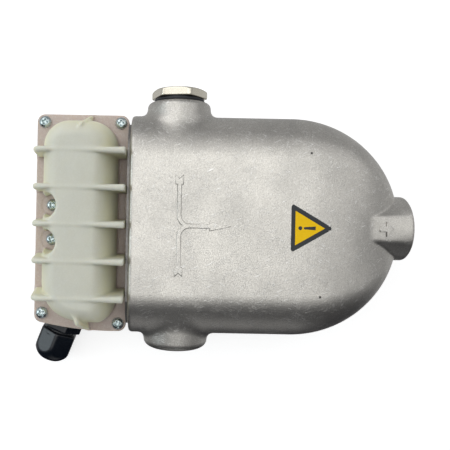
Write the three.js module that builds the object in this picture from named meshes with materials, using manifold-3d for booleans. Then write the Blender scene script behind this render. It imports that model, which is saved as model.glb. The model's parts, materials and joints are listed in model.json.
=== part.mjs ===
// Steam trap of the inverted bucket kind, with an electrical terminal box under its base.
// Millimetres. The origin is the centre of the outlet port's face.
// +Z is up through that port and -Y is the front.
// Condensate enters through one of the two side ports, rises under the bucket and leaves through the top port.

import * as THREE from "three";
import { mergeVertices } from "three/addons/utils/BufferGeometryUtils.js";
import Module from "manifold-3d";

const wasm = await Module();
wasm.setup();

// ---------------------------------------------------------------- driving dimensions

const GAP = 0.3; // between faces that touch on the real trap
const CUT = 1; // how far a cutting tool runs past the face it opens

// Bell housing: an obround section under a dome.
const BELL_HALF_WIDTH = 69.4;
const BELL_HALF_DEPTH = 28.6;
const BELL_WALL = 5;
const BELL_MOUTH_Z = -174.7;
const DOME_Z = -72.5;
const DOME_RISE = 69.2;
const MOUTH_CHAMFER = 1.5;

// Ports, for a 3/4 inch pipe thread.
const PORT_BORE = 12.1;
const PORT_DEPTH = 14;
const OUTLET_BOSS_R = 20.5;
const OUTLET_BOSS_FILLET = 1;
const OUTLET_PASSAGE_R = 3;
const FACET_LOW_Y = 21.6;
const FACET_HIGH_Y = 20.3;
const FACET_BEND_Z = -27;
const FACET_TOP_Z = -2;
const SIDE_PORT_Z = -144.7;
const SIDE_PORT_X = 78;
const SIDE_BOSS_R = 21.1;
const SIDE_BOSS_TIP_R = 20;
const SIDE_BOSS_ROOT_X = 48;
const SIDE_BOSS_STEP_X = 66;
const SIDE_SHOULDER_X = SIDE_PORT_X - PORT_DEPTH;
const SHOULDER_R = 14;
const BOSS_FILLET = 2.6;
const SIDES = [-1, 1];

// Plug in the left port, and the label above it.
const PLUG_HEX = 32;
const PLUG_HEAD = 5.4;
const PLUG_CROWN_R = 19;
const PLUG_TURN = THREE.MathUtils.degToRad(20);
const SEAL_THICK = 2.3;
const SEAL_OUTER_R = 16.2;
const LABEL_SIDE = 29.2;
const LABEL_LOW_Z = -77.8;
const LABEL_THICK = 0.4;

// Base plate, which closes the bell from below, and its four screws.
const PLATE_TOP_Z = -166.3;
const PLATE_BOTTOM_Z = -176.4;
const GROOVE_Z = [-172.9, -169.3];
const GROOVE_DEPTH = 2.4;
const LUG_R = 9.6;
const LUG_TOP_Z = -157.5;
const BASE_SCREW_X = 51.5;
const BASE_SCREW_Y = 11;
const BASE_SCREW_R = 2.2;
const BASE_SCREW_HEAD_R = 4.3;
const BASE_SCREW_LONG = 11.2;
const BASE_SCREW_SEAT_Z = -170.9;
const screwPlaces = SIDES.flatMap((x) => SIDES.map((y) => [x * BASE_SCREW_X, y * BASE_SCREW_Y]));

// Terminal box and its cover. The lower right corner is cut off for the cable gland.
const BOX_HALF_WIDTH = 69.5;
const BOX_TOP_Z = PLATE_BOTTOM_Z - GAP;
const BOX_BOTTOM_Z = -235.9;
const BOX_CUT_Z = -208.5;
const BOX_BACK_Y = 28.6;
const BOX_WALL = 3.5;
const BOX_SCREW_X = 20;
const BOX_SCREW_Y = 14;
const GLAND_TILT = THREE.MathUtils.degToRad(21);
const COVER_TILT = THREE.MathUtils.degToRad(12);
const FLANGE_FRONT_Y = -3.2;
const FLANGE_THICK = 3;
const GASKET_THICK = 1.7;
const GASKET_Y = FLANGE_FRONT_Y + FLANGE_THICK + GAP;
const BOX_RIM_Y = GASKET_Y + GASKET_THICK + GAP;
const DOME_HEIGHT = 32.8;
const DOME_INSET = 6.2;
const DOME_END_INSET = 4.8;
const DOME_SLANT_INSET = 4.4;
const DOME_ROUND = 12.5;
const COVER_WALL = 2.5;
const RIB_PITCH = 21.9;
const RIB_START = 5.3;
const RIB_HALF = [1.2, 1.4, 2.1]; // half a rib's width at its start, middle and end
const GUSSET_WIDE = 3;
const GUSSET_Z = -205;
const POCKET_X = 11;
const POCKET_Z = -225;
const POCKET_R = 7.7;
const SCREW_INSET = 5.2;
const SLANT_SCREW_SHIFT = 6.1; // keeps the screw beside the slanted edge on the flange
const COVER_SCREW_HOLE_R = 2.3;
const RECESS_TURN = 0.4;

// Cable gland, for a 20 mm thread. Pairs are distances along its axis from the box's face.
const GLAND_Y = 15.4;
const GLAND_DOWN_FACE = 11.4;
const GLAND_THREAD_R = 9.7;
const GLAND_HEX = 24;
const GLAND_NUT_HEX = 23;
const GLAND_BODY = [1.8, 6.6];
const GLAND_NECK_TIP = 14.5;
const GLAND_NUT = [8.6, 29.2];
const HALF_FLAT = Math.PI / 6; // turns a hexagon's flats to the front

// Level probe, through the base plate into the terminal box.
const PROBE_X = -30.5;
const PROBE_Y = 13;
const PROBE_HEX = 15;
const PROBE_HEX_TOP_Z = -160;
const PROBE_FITTING_R = 6;
const PROBE_INSULATOR_R = 4;
const PROBE_ROD_R = 1.5;
const PROBE_LOW_Z = -188;
const PROBE_TIP_Z = -133;

// Valve and float.
const SEAT_FACE_Z = -23.5;
const SEAT_TOP_Z = -17.8;
const SEAT_BOSS_R = 16.5;
const SEAT_R = 6;
const SEAT_HEX = 17;
const NOZZLE_Z = -30.5;
const BRACKET_TOP_Z = SEAT_FACE_Z - GAP;
const BRACKET_THICK = 1.6;
const BRACKET_SCREW_X = 9.2;
const BRACKET_SCREW_R = 1.3;
const EAR_Y = 6.2;
const PIN_R = 1.05;
const PIVOT = new THREE.Vector2(-13, -40);
const VALVE_SWING = THREE.MathUtils.degToRad(9.8);
const BALL_R = 3.2;
const BALL_CLOSED_Z = -33.5;
const LEVER_TOP_Z = -39.3;
const BUCKET_X = 15;
const BUCKET_R = 20.5;
const BUCKET_TOP_Z = -62;
const BUCKET_MOUTH_Z = -124;

// Inlet pipework between the side ports and the bucket.
const NIPPLE_R = 7.5;
const NIPPLE_TIP_X = 67;
const TEE_X = [2, 28];
const TEE_R = 10.5;
const TEE_BRANCH_R = 9;
const TEE_TOP_Z = -131.5;
const STANDPIPE_R = 6;
const STANDPIPE_Z = [-137, -113];

// Circuit board in the terminal box.
const BOARD_FRONT_Y = 6;
const BOARD_THICK = 1.6;
const BOARD_Z = [-227.5, -184.5];
const boardPosts = [[-50, -222], [-50, -190], [46, -222], [46, -190]];

// ---------------------------------------------------------------- solids

// A closed three.js geometry as a manifold-3d solid, whichever way its faces point.
function solid(geometry) {
  const bare = geometry.index ? geometry.toNonIndexed() : geometry.clone();
  const merged = mergeVertices(
    new THREE.BufferGeometry().setAttribute("position", bare.getAttribute("position")),
    1e-4,
  );
  const index = merged.index.array;
  const kept = [];
  for (let i = 0; i < index.length; i += 3) {
    const [a, b, c] = index.slice(i, i + 3);
    if (a !== b && b !== c && c !== a) kept.push(a, b, c);
  }
  const make = (corners) =>
    new wasm.Manifold(
      new wasm.Mesh({
        numProp: 3,
        vertProperties: merged.attributes.position.array,
        triVerts: new Uint32Array(corners),
      }),
    );
  const made = make(kept);
  return made.volume() < 0 ? make(kept.reverse()) : made;
}

function geometryOf(made) {
  const mesh = made.getMesh();
  const stride = mesh.numProp;
  const corners = new Float32Array(mesh.numVert * 3);
  for (let i = 0; i < mesh.numVert; i += 1) {
    corners.set(mesh.vertProperties.subarray(i * stride, i * stride + 3), i * 3);
  }
  const geometry = new THREE.BufferGeometry();
  geometry.setAttribute("position", new THREE.BufferAttribute(corners, 3));
  geometry.setIndex(new THREE.BufferAttribute(mesh.triVerts, 1));
  geometry.computeVertexNormals();
  return geometry;
}

const join = (...solids) => solids.reduce((all, next) => all.add(next));
const cut = (from, ...tools) => tools.reduce((left, tool) => left.subtract(tool), from);

// Turns a shape made along +Z to lie along another axis, and moves it.
function along(axis, geometry, x = 0, y = 0, z = 0) {
  const turn = new THREE.Quaternion().setFromUnitVectors(new THREE.Vector3(0, 0, 1), axis);
  return geometry.applyQuaternion(turn).translate(x, y, z);
}
const X_AXIS = new THREE.Vector3(1, 0, 0);
const Y_AXIS = new THREE.Vector3(0, 1, 0);
const Z_AXIS = new THREE.Vector3(0, 0, 1);

// A turned piece about Z from a profile of [radius, height] points.
function turned(profile, sides = 32) {
  const points = profile.map(([radius, height]) => new THREE.Vector2(radius, height));
  return new THREE.LatheGeometry(points, sides).rotateX(Math.PI / 2);
}
const disc = (radius, low, high, sides = 24) =>
  turned([[0, low], [radius, low], [radius, high], [0, high]], sides);
const tube = (inner, outer, low, high, sides = 24) =>
  turned([[inner, low], [outer, low], [outer, high], [inner, high], [inner, low]], sides);
const bar = (x0, x1, y0, y1, z0, z1) =>
  new THREE.BoxGeometry(x1 - x0, y1 - y0, z1 - z0)
    .translate((x0 + x1) / 2, (y0 + y1) / 2, (z0 + z1) / 2);

function hexPrism(acrossFlats, low, high) {
  const radius = acrossFlats / Math.sqrt(3);
  return turned([[0, low], [radius, low], [radius, high], [0, high]], 6);
}

// An outline in the X-Z plane, given as [x, z] corners with one corner radius each, as a shape.
function rounded(corners) {
  const shape = new THREE.Shape();
  corners.forEach(([x, z, radius], i) => {
    const before = corners[(i + corners.length - 1) % corners.length];
    const after = corners[(i + 1) % corners.length];
    const here = new THREE.Vector2(x, z);
    const back = new THREE.Vector2(before[0], before[1]).sub(here).normalize();
    const ahead = new THREE.Vector2(after[0], after[1]).sub(here).normalize();
    const half = Math.acos(back.dot(ahead)) / 2;
    const reach = radius / Math.tan(half);
    const start = here.clone().addScaledVector(back, reach);
    const end = here.clone().addScaledVector(ahead, reach);
    if (i === 0) shape.moveTo(start.x, start.y);
    else shape.lineTo(start.x, start.y);
    shape.quadraticCurveTo(here.x, here.y, end.x, end.y);
  });
  shape.closePath();
  return shape;
}

// A shape drawn in the X-Z plane and thickened along Y from y0 to y1.
function slab(shape, y0, y1, curveSegments = 5) {
  const geometry = new THREE.ExtrudeGeometry(shape, {
    depth: y1 - y0,
    bevelEnabled: false,
    curveSegments,
  });
  return geometry.rotateX(Math.PI / 2).translate(0, y1, 0);
}

// Squeezes a round lathe into an obround whose depth is a share of its width.
function obround(geometry, share) {
  const place = geometry.getAttribute("position");
  for (let i = 0; i < place.count; i += 1) {
    const x = place.getX(i);
    const y = place.getY(i);
    const radius = Math.hypot(x, y);
    if (radius < 1e-6) continue;
    const end = Math.abs(x) < 1e-4 ? 0 : Math.sign(x);
    place.setX(i, x * share + end * radius * (1 - share));
    place.setY(i, y * share);
  }
  return geometry;
}

// ---------------------------------------------------------------- finishes

const finish = (color, roughness, metalness) =>
  new THREE.MeshStandardMaterial({ color, roughness, metalness });
const finishes = {
  casting: finish(0xb9b5ad, 0.5, 0.85),
  machined: finish(0xc4c4c2, 0.35, 0.95),
  nickel: finish(0xd6cfbd, 0.28, 0.95),
  zinc: finish(0xbfd0d0, 0.3, 0.95),
  stainless: finish(0xc9cacb, 0.3, 1),
  brass: finish(0xc8a250, 0.35, 0.95),
  nylon: finish(0xbcbca6, 0.5, 0),
  blackNylon: finish(0x14171c, 0.35, 0),
  rubber: finish(0x15171a, 0.7, 0),
  silicone: finish(0x8a5a4d, 0.7, 0),
  ceramic: finish(0xe9e4d6, 0.6, 0),
  board: finish(0x2f6b45, 0.6, 0),
  label: finish(0xe9bd00, 0.5, 0),
  bluePlastic: finish(0x2b5aa0, 0.6, 0),
  brownVinyl: finish(0x6a4026, 0.6, 0),
};

const trap = new THREE.Group();
function add(name, shape, material, parent = trap) {
  const geometry = shape.isBufferGeometry ? shape : geometryOf(shape);
  const mesh = new THREE.Mesh(geometry, finishes[material]);
  mesh.name = name;
  parent.add(mesh);
  return mesh;
}

// ---------------------------------------------------------------- bell housing

// The bell's half profile: a straight skirt and a dome, pulled in by a wall thickness.
function bellProfile(wall, mouthZ, chamfer) {
  const halfWidth = BELL_HALF_WIDTH - wall;
  const rise = DOME_RISE - wall;
  const profile = [
    [0, mouthZ],
    [halfWidth - chamfer, mouthZ],
    [halfWidth, mouthZ + chamfer],
  ];
  const steps = 7;
  for (let i = 0; i <= steps; i += 1) {
    const angle = (i / steps) * (Math.PI / 2);
    profile.push([i === steps ? 0 : halfWidth * Math.cos(angle), DOME_Z + rise * Math.sin(angle)]);
  }
  return profile;
}

function bossTip(radius, tip, fillet) {
  const bend = 0.3; // share of the fillet left at its middle point
  return [
    [radius, tip - fillet],
    [radius - fillet * bend, tip - fillet * bend],
    [radius - fillet, tip],
    [0, tip],
  ];
}

// The top boss: a cylinder with two flanks at 45 degrees that meet a sloping facet at the front.
function outletBoss() {
  const low = -46;
  const round = turned([[0, low], [OUTLET_BOSS_R, low], ...bossTip(OUTLET_BOSS_R, 0, OUTLET_BOSS_FILLET)], 28);
  const tangent = OUTLET_BOSS_R / Math.SQRT2;
  const flanks = solid(disc(2 * tangent, low, FACET_TOP_Z, 4))
    .intersect(solid(bar(-tangent, tangent, -BELL_HALF_DEPTH, 0, low, 0)));
  const beside = new THREE.Shape()
    .moveTo(BELL_HALF_DEPTH, low - CUT)
    .lineTo(-FACET_LOW_Y, low - CUT)
    .lineTo(-FACET_LOW_Y, FACET_BEND_Z)
    .lineTo(-FACET_HIGH_Y, CUT)
    .lineTo(BELL_HALF_DEPTH, CUT)
    .closePath();
  const behindFacet = new THREE.ExtrudeGeometry(beside, { depth: 2 * BELL_HALF_WIDTH, bevelEnabled: false })
    .applyMatrix4(new THREE.Matrix4().makeBasis(Y_AXIS, Z_AXIS, X_AXIS))
    .translate(-BELL_HALF_WIDTH, 0, 0);
  return join(solid(round), flanks).intersect(solid(behindFacet));
}

// Turns a shape made along +Z to lie along a side port's axis, outwards.
const atPort = (side, geometry) =>
  along(new THREE.Vector3(side, 0, 0), geometry, 0, 0, SIDE_PORT_Z);

function bellHousing() {
  const outerShare = BELL_HALF_DEPTH / BELL_HALF_WIDTH;
  const innerShare = (BELL_HALF_DEPTH - BELL_WALL) / (BELL_HALF_WIDTH - BELL_WALL);
  const outside = obround(turned(bellProfile(0, BELL_MOUTH_Z, MOUTH_CHAMFER)), outerShare);
  const inside = obround(turned(bellProfile(BELL_WALL, BELL_MOUTH_Z - CUT, 0)), innerShare);
  const sideBoss = [
    [0, SIDE_BOSS_ROOT_X],
    [SIDE_BOSS_R, SIDE_BOSS_ROOT_X],
    [SIDE_BOSS_R, SIDE_BOSS_STEP_X],
    ...bossTip(SIDE_BOSS_TIP_R, SIDE_PORT_X, BOSS_FILLET),
  ];
  const sideBosses = SIDES.map((side) => solid(atPort(side, turned(sideBoss, 28))));
  const skin = join(solid(outside), outletBoss(), ...sideBosses);

  // Inside: a boss for the valve seat, a shoulder behind each side port and lugs for the base plate's screws.
  const seatBoss = solid(disc(SEAT_BOSS_R, SEAT_FACE_Z, SEAT_FACE_Z + 17.5, 32));
  const shoulders = SIDES.map((side) =>
    solid(atPort(side, disc(SHOULDER_R, SIDE_SHOULDER_X - 7, SIDE_BOSS_STEP_X, 28))),
  );
  const lugs = screwPlaces.map(([x, y]) =>
    solid(disc(LUG_R, PLATE_TOP_Z + GAP, LUG_TOP_Z, 16).translate(x, y, 0)),
  );
  const inner = join(seatBoss, ...shoulders, ...lugs).intersect(solid(outside.clone()));
  const body = join(cut(skin, solid(inside)), inner);

  const sideBores = SIDES.flatMap((side) => [
    solid(atPort(side, disc(PORT_BORE, SIDE_SHOULDER_X, SIDE_PORT_X + CUT))),
    solid(atPort(side, disc(NIPPLE_R + 2 * GAP, SIDE_BOSS_ROOT_X, SIDE_PORT_X, 20))),
  ]);
  const lugHoles = screwPlaces.map(([x, y]) =>
    solid(disc(BASE_SCREW_R + GAP, PLATE_TOP_Z - CUT, LUG_TOP_Z - 1.5, 8).translate(x, y, 0)),
  );
  const bracketHoles = SIDES.map((side) =>
    solid(disc(BRACKET_SCREW_R + GAP, SEAT_FACE_Z - CUT, SEAT_FACE_Z + 5.5, 12)
      .translate(BRACKET_SCREW_X, side * BRACKET_SCREW_X, 0)),
  );
  return cut(
    body,
    solid(disc(PORT_BORE, -PORT_DEPTH, CUT)),
    solid(disc(OUTLET_PASSAGE_R, SEAT_TOP_Z - 2, -PORT_DEPTH + CUT, 16)),
    solid(disc(SEAT_R + GAP, SEAT_FACE_Z - CUT, SEAT_TOP_Z + GAP)),
    ...sideBores,
    ...lugHoles,
    ...bracketHoles,
  );
}

// ---------------------------------------------------------------- side plug and warning label

function sidePlug() {
  const washerTop = SIDE_PORT_X + GAP + SEAL_THICK + GAP;
  const collarLow = washerTop - 1.9;
  const tipX = washerTop + PLUG_HEAD;
  const hex = hexPrism(PLUG_HEX, washerTop, tipX).rotateZ(PLUG_TURN);
  const crown = turned([
    [0, collarLow],
    [PLUG_CROWN_R, collarLow],
    [PLUG_CROWN_R, tipX - 1.4],
    [PLUG_CROWN_R - 3.2, tipX],
    [0, tipX],
  ], 28);
  const head = solid(hex).intersect(solid(crown));
  const shank = solid(disc(PORT_BORE - GAP, SIDE_SHOULDER_X + 5, washerTop + CUT));
  const relief = solid(disc(PORT_BORE - 3.6, SIDE_SHOULDER_X + 4, SIDE_PORT_X - 2, 20));
  return cut(join(head, shank), relief);
}

function placeSidePlug() {
  add("side_plug", atPort(-1, geometryOf(sidePlug())), "nickel");
  const low = SIDE_PORT_X + GAP;
  add("side_plug_seal", atPort(-1, tube(PORT_BORE, SEAL_OUTER_R, low, low + SEAL_THICK, 28)), "rubber");
}

function warningLabel() {
  const high = LABEL_LOW_Z + LABEL_SIDE * Math.sin(Math.PI / 3);
  const radius = 1.2;
  const triangle = rounded([
    [-LABEL_SIDE / 2, LABEL_LOW_Z, radius],
    [LABEL_SIDE / 2, LABEL_LOW_Z, radius],
    [0, high, radius],
  ]);
  const back = -BELL_HALF_DEPTH - GAP;
  return slab(triangle, back - LABEL_THICK, back, 3);
}

// ---------------------------------------------------------------- base plate

const plateHalfWidth = BELL_HALF_WIDTH - BELL_WALL - 0.4;
const plateHalfDepth = BELL_HALF_DEPTH - BELL_WALL - 0.4;

// An obround disc as wide as the base plate, pulled in by an inset.
function obroundPlate(inset, low, high) {
  const halfWidth = plateHalfWidth - inset;
  return solid(obround(disc(halfWidth, low, high), (plateHalfDepth - inset) / halfWidth));
}

function basePlate() {
  const groove = cut(
    obroundPlate(-CUT, GROOVE_Z[0], GROOVE_Z[1]),
    obroundPlate(GROOVE_DEPTH, GROOVE_Z[0] - CUT, GROOVE_Z[1] + CUT),
  );
  const low = PLATE_BOTTOM_Z - CUT;
  const high = PLATE_TOP_Z + CUT;
  const holes = screwPlaces.flatMap(([x, y]) => [
    solid(disc(BASE_SCREW_R + 2 * GAP, low, high, 12).translate(x, y, 0)),
    solid(disc(BASE_SCREW_HEAD_R + 2 * GAP, low, BASE_SCREW_SEAT_Z + GAP, 20).translate(x, y, 0)),
  ]);
  const boxHoles = SIDES.map((side) =>
    solid(disc(BASE_SCREW_R + GAP, low, PLATE_TOP_Z - 3.2, 12).translate(side * BOX_SCREW_X, BOX_SCREW_Y, 0)),
  );
  const probeHole = solid(disc(PROBE_FITTING_R + GAP, low, high, 20).translate(PROBE_X, PROBE_Y, 0));
  return cut(obroundPlate(0, PLATE_BOTTOM_Z, PLATE_TOP_Z), groove, probeHole, ...holes, ...boxHoles);
}

// The ring fills its groove but for a small gap all round.
function baseSeal() {
  const spare = 0.4;
  return cut(
    obroundPlate(-0.25, GROOVE_Z[0] + spare, GROOVE_Z[1] - spare),
    obroundPlate(GROOVE_DEPTH - GAP, GROOVE_Z[0] - CUT, GROOVE_Z[1] + CUT),
  );
}

// A socket-head cap screw along +Z whose head's underside is at zero.
function capScrew(shankR, length, headR, headHigh, sides = 16) {
  const body = turned([
    [0, -headHigh],
    [headR, -headHigh],
    [headR, 0],
    [shankR, 0],
    [shankR, length],
    [0, length],
  ], sides);
  return cut(solid(body), solid(hexPrism(headR * 0.9, -headHigh - CUT, -headHigh * 0.4)));
}

function baseScrews() {
  screwPlaces.forEach(([x, y], i) => {
    const screw = capScrew(BASE_SCREW_R, BASE_SCREW_LONG, BASE_SCREW_HEAD_R, 4.8);
    add(`base_screw_${i + 1}`, geometryOf(screw).translate(x, y, BASE_SCREW_SEAT_Z), "zinc");
  });
}

// ---------------------------------------------------------------- probe

function probe() {
  const bore = PROBE_INSULATOR_R + GAP;
  const place = (geometry) => geometry.translate(PROBE_X, PROBE_Y, 0);
  const fitting = join(
    solid(hexPrism(PROBE_HEX, PLATE_TOP_Z + GAP, PROBE_HEX_TOP_Z)),
    solid(disc(PROBE_FITTING_R, PLATE_BOTTOM_Z + 0.9, PLATE_TOP_Z + CUT, 20)),
  );
  const bored = cut(fitting, solid(disc(bore, PLATE_BOTTOM_Z - CUT, PROBE_HEX_TOP_Z + CUT, 20)));
  add("probe_fitting", place(geometryOf(bored)), "brass");

  const inner = PROBE_ROD_R + GAP;
  const insulator = turned([
    [inner, PROBE_LOW_Z],
    [PROBE_INSULATOR_R, PROBE_LOW_Z],
    [PROBE_INSULATOR_R, PROBE_HEX_TOP_Z + 2],
    [PROBE_INSULATOR_R - 1, PROBE_HEX_TOP_Z + 5],
    [inner, PROBE_HEX_TOP_Z + 5],
    [inner, PROBE_LOW_Z],
  ], 20);
  add("probe_insulator", place(insulator), "ceramic");
  add("probe_rod", place(disc(PROBE_ROD_R, PROBE_LOW_Z - 4, PROBE_TIP_Z, 12)), "stainless");
}

// ---------------------------------------------------------------- valve and float

// The valve's moving parts are modelled with the valve open, a swing away from the closed position.
function swungOpen(point) {
  return point.clone().sub(PIVOT).rotateAround(new THREE.Vector2(), -VALVE_SWING).add(PIVOT);
}

const pinRod = (radius, halfLong) =>
  along(Y_AXIS, disc(radius, -halfLong, halfLong, 16), PIVOT.x, 0, PIVOT.y);

function valveSeat() {
  const hexTop = BRACKET_TOP_Z;
  const hexLow = hexTop - 4.6;
  const body = join(
    solid(disc(SEAT_R, SEAT_FACE_Z - CUT, SEAT_TOP_Z)),
    solid(hexPrism(SEAT_HEX, hexLow, hexTop)),
    solid(turned([[0, NOZZLE_Z], [3.6, NOZZLE_Z], [5, hexLow + 0.2], [0, hexLow + 0.2]], 24)),
  );
  return cut(body, solid(disc(BALL_R / 2, NOZZLE_Z - CUT, SEAT_TOP_Z + CUT, 16)));
}

function leverBracket() {
  const back = PIVOT.x - 4;
  const low = BRACKET_TOP_Z - BRACKET_THICK;
  const plate = bar(back, 13.5, -12.5, 12.5, low, BRACKET_TOP_Z);
  const ears = SIDES.map((side) => {
    const [near, far] = [EAR_Y * side, (EAR_Y + BRACKET_THICK) * side].sort((a, b) => a - b);
    return solid(bar(back, PIVOT.x + 4, near, far, PIVOT.y - 3, BRACKET_TOP_Z - BRACKET_THICK / 2));
  });
  const drill = (radius) => disc(radius, low - CUT, BRACKET_TOP_Z + CUT);
  const screwHoles = SIDES.map((side) =>
    solid(drill(BRACKET_SCREW_R + 0.4).translate(BRACKET_SCREW_X, side * BRACKET_SCREW_X, 0)),
  );
  const seatHole = solid(drill(SEAT_HEX / Math.sqrt(3) + 0.5));
  return cut(join(solid(plate), ...ears), seatHole, solid(pinRod(PIN_R + GAP, 20)), ...screwHoles);
}

function lever() {
  const arm = bar(PIVOT.x, 18, -4.2, 4.2, LEVER_TOP_Z - BRACKET_THICK, LEVER_TOP_Z);
  const hookSlot = bar(BUCKET_X - 2.2, BUCKET_X + 1.8, -1.6, 1.6, LEVER_TOP_Z - 5, LEVER_TOP_Z + 3);
  return cut(
    join(solid(arm), solid(pinRod(PIN_R + 1.85, EAR_Y - 0.4))),
    solid(pinRod(PIN_R + 0.05, EAR_Y + CUT)),
    solid(hookSlot),
  );
}

function bucket() {
  const wall = 1;
  const corner = 2;
  const shell = turned([
    [1.5, BUCKET_TOP_Z],
    [BUCKET_R - corner, BUCKET_TOP_Z],
    [BUCKET_R, BUCKET_TOP_Z - corner],
    [BUCKET_R, BUCKET_MOUTH_Z],
    [BUCKET_R - wall, BUCKET_MOUTH_Z],
    [BUCKET_R - wall, BUCKET_TOP_Z - corner - 0.4],
    [BUCKET_R - corner - 0.4, BUCKET_TOP_Z - wall],
    [1.5, BUCKET_TOP_Z - wall],
    [1.5, BUCKET_TOP_Z],
  ], 28);
  const vent = disc(1.2, BUCKET_TOP_Z - wall - CUT, BUCKET_TOP_Z + CUT, 12).translate(9, 0, 0);
  return cut(solid(shell), solid(vent));
}

// A pin through the bucket's crown, with a collar on each side of it and a ball that lifts the lever.
function bucketHook() {
  const wall = 1;
  const collar = 3;
  const ballR = 2.3;
  const ballZ = LEVER_TOP_Z + 0.5 + ballR;
  const low = BUCKET_TOP_Z - collar;
  return join(
    solid(disc(PIN_R, low, ballZ, 12)),
    solid(disc(collar, low, BUCKET_TOP_Z - wall - GAP, 16)),
    solid(disc(collar, BUCKET_TOP_Z + GAP, BUCKET_TOP_Z + 2, 16)),
    solid(new THREE.SphereGeometry(ballR, 12, 8).translate(0, 0, ballZ)),
  );
}

function floatMechanism() {
  add("valve_seat", valveSeat(), "stainless");
  add("lever_bracket", leverBracket(), "stainless");
  SIDES.forEach((side, i) => {
    const screw = geometryOf(capScrew(BRACKET_SCREW_R, 5.5, 2.6, 2, 12));
    const low = BRACKET_TOP_Z - BRACKET_THICK - GAP;
    add(`bracket_screw_${i + 1}`, screw.translate(BRACKET_SCREW_X, side * BRACKET_SCREW_X, low), "stainless");
  });
  add("lever_pin", pinRod(PIN_R, EAR_Y + BRACKET_THICK + 1.6), "stainless");
  add("lever", lever(), "stainless");
  const ball = swungOpen(new THREE.Vector2(0, BALL_CLOSED_Z));
  add("valve_ball", new THREE.SphereGeometry(BALL_R, 16, 10).translate(ball.x, 0, ball.y), "stainless");
  add("bucket", geometryOf(bucket()).translate(BUCKET_X, 0, 0), "stainless");
  add("bucket_hook", geometryOf(bucketHook()).translate(BUCKET_X, 0, 0), "stainless");
}

// ---------------------------------------------------------------- inlet pipework

function inletTee() {
  const block = join(
    solid(atPort(1, disc(TEE_R, TEE_X[0], TEE_X[1], 28))),
    solid(disc(TEE_BRANCH_R, SIDE_PORT_Z, TEE_TOP_Z).translate(BUCKET_X, 0, 0)),
  );
  return cut(
    block,
    solid(atPort(1, disc(NIPPLE_R + GAP, TEE_X[0] - 2, TEE_X[1] + 2))),
    solid(disc(STANDPIPE_R + GAP, SIDE_PORT_Z, TEE_TOP_Z + CUT).translate(BUCKET_X, 0, 0)),
  );
}

// A sleeve with a flange that sits against the shoulder behind a side port.
function nipple(start) {
  const inner = NIPPLE_R - 1.5;
  const flange = SIDE_SHOULDER_X + GAP;
  return turned([
    [inner, start],
    [NIPPLE_R, start],
    [NIPPLE_R, flange],
    [NIPPLE_R + 4, flange],
    [NIPPLE_R + 4, NIPPLE_TIP_X],
    [inner, NIPPLE_TIP_X],
    [inner, start],
  ], 24);
}

// A round disc with rings of small holes, given as [count, radius of the ring].
function inletScreen() {
  const low = NIPPLE_TIP_X + GAP;
  const thick = 0.8;
  const holes = [[1, 0], [5, 3.8], [7, 7.6]].flatMap(([count, ring]) =>
    Array.from({ length: count }, (_, i) => {
      const angle = (i / count) * Math.PI * 2;
      const hole = disc(1.25, low - CUT, low + thick + CUT, 6);
      return solid(hole.translate(ring * Math.cos(angle), ring * Math.sin(angle), 0));
    }),
  );
  return cut(solid(disc(PORT_BORE - 0.9, low, low + thick, 28)), ...holes);
}

function inletPipes() {
  add("inlet_tee", inletTee(), "brass");
  const standpipe = tube(STANDPIPE_R - 1.5, STANDPIPE_R, STANDPIPE_Z[0], STANDPIPE_Z[1]);
  add("standpipe", standpipe.translate(BUCKET_X, 0, 0), "stainless");
  add("inlet_nipple_left", atPort(-1, nipple(6 - BUCKET_X + CUT)), "brass");
  add("inlet_nipple_right", atPort(1, nipple(TEE_X[1] - 6)), "brass");
  add("inlet_screen", atPort(1, geometryOf(inletScreen())), "stainless");
}

// ---------------------------------------------------------------- terminal box and cover

// The outline of the box or its cover, pulled in by sideInset and endInset, with its corner cut off at a tilt.
function boxOutline(sideInset, endInset, radius, tilt, slantInset = sideInset) {
  const right = BOX_HALF_WIDTH - endInset;
  const top = BOX_TOP_Z - sideInset;
  const bottom = BOX_BOTTOM_Z + sideInset;
  const slope = Math.tan(tilt);
  const slantAt = (z) => BOX_HALF_WIDTH - (BOX_CUT_Z - z) * slope - slantInset / Math.cos(tilt);
  const bend = BOX_CUT_Z - (slantInset / Math.cos(tilt) - endInset) / slope;
  const bendZ = Math.min(bend, top - 2 * radius);
  return rounded([
    [-right, bottom, radius],
    [slantAt(bottom), bottom, radius],
    [right, endInset > slantInset ? BOX_CUT_Z : bendZ, Math.min(radius, 4)],
    [right, top, radius],
    [-right, top, radius],
  ]);
}

const coverScrews = [
  [-BOX_HALF_WIDTH + SCREW_INSET, BOX_BOTTOM_Z + SCREW_INSET],
  [-BOX_HALF_WIDTH + SCREW_INSET, BOX_TOP_Z - SCREW_INSET],
  [BOX_HALF_WIDTH - SCREW_INSET, BOX_TOP_Z - SCREW_INSET],
  [BOX_HALF_WIDTH - SCREW_INSET - SLANT_SCREW_SHIFT, BOX_BOTTOM_Z + SCREW_INSET],
  [-POCKET_X, POCKET_Z],
  [POCKET_X, POCKET_Z],
];

const rodY = (radius, y0, y1, x, z, sides = 12) => along(Y_AXIS, disc(radius, y0, y1, sides), x, 0, z);
const rodsAtScrews = (radius, y0, y1) => coverScrews.map(([x, z]) => solid(rodY(radius, y0, y1, x, z)));

// Where the gland's axis meets the box's slanted face.
function glandAxis() {
  const out = new THREE.Vector3(Math.cos(GLAND_TILT), 0, -Math.sin(GLAND_TILT));
  const at = new THREE.Vector3(
    BOX_HALF_WIDTH - GLAND_DOWN_FACE * Math.sin(GLAND_TILT),
    GLAND_Y,
    BOX_CUT_Z - GLAND_DOWN_FACE * Math.cos(GLAND_TILT),
  );
  return { out, at };
}

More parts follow.
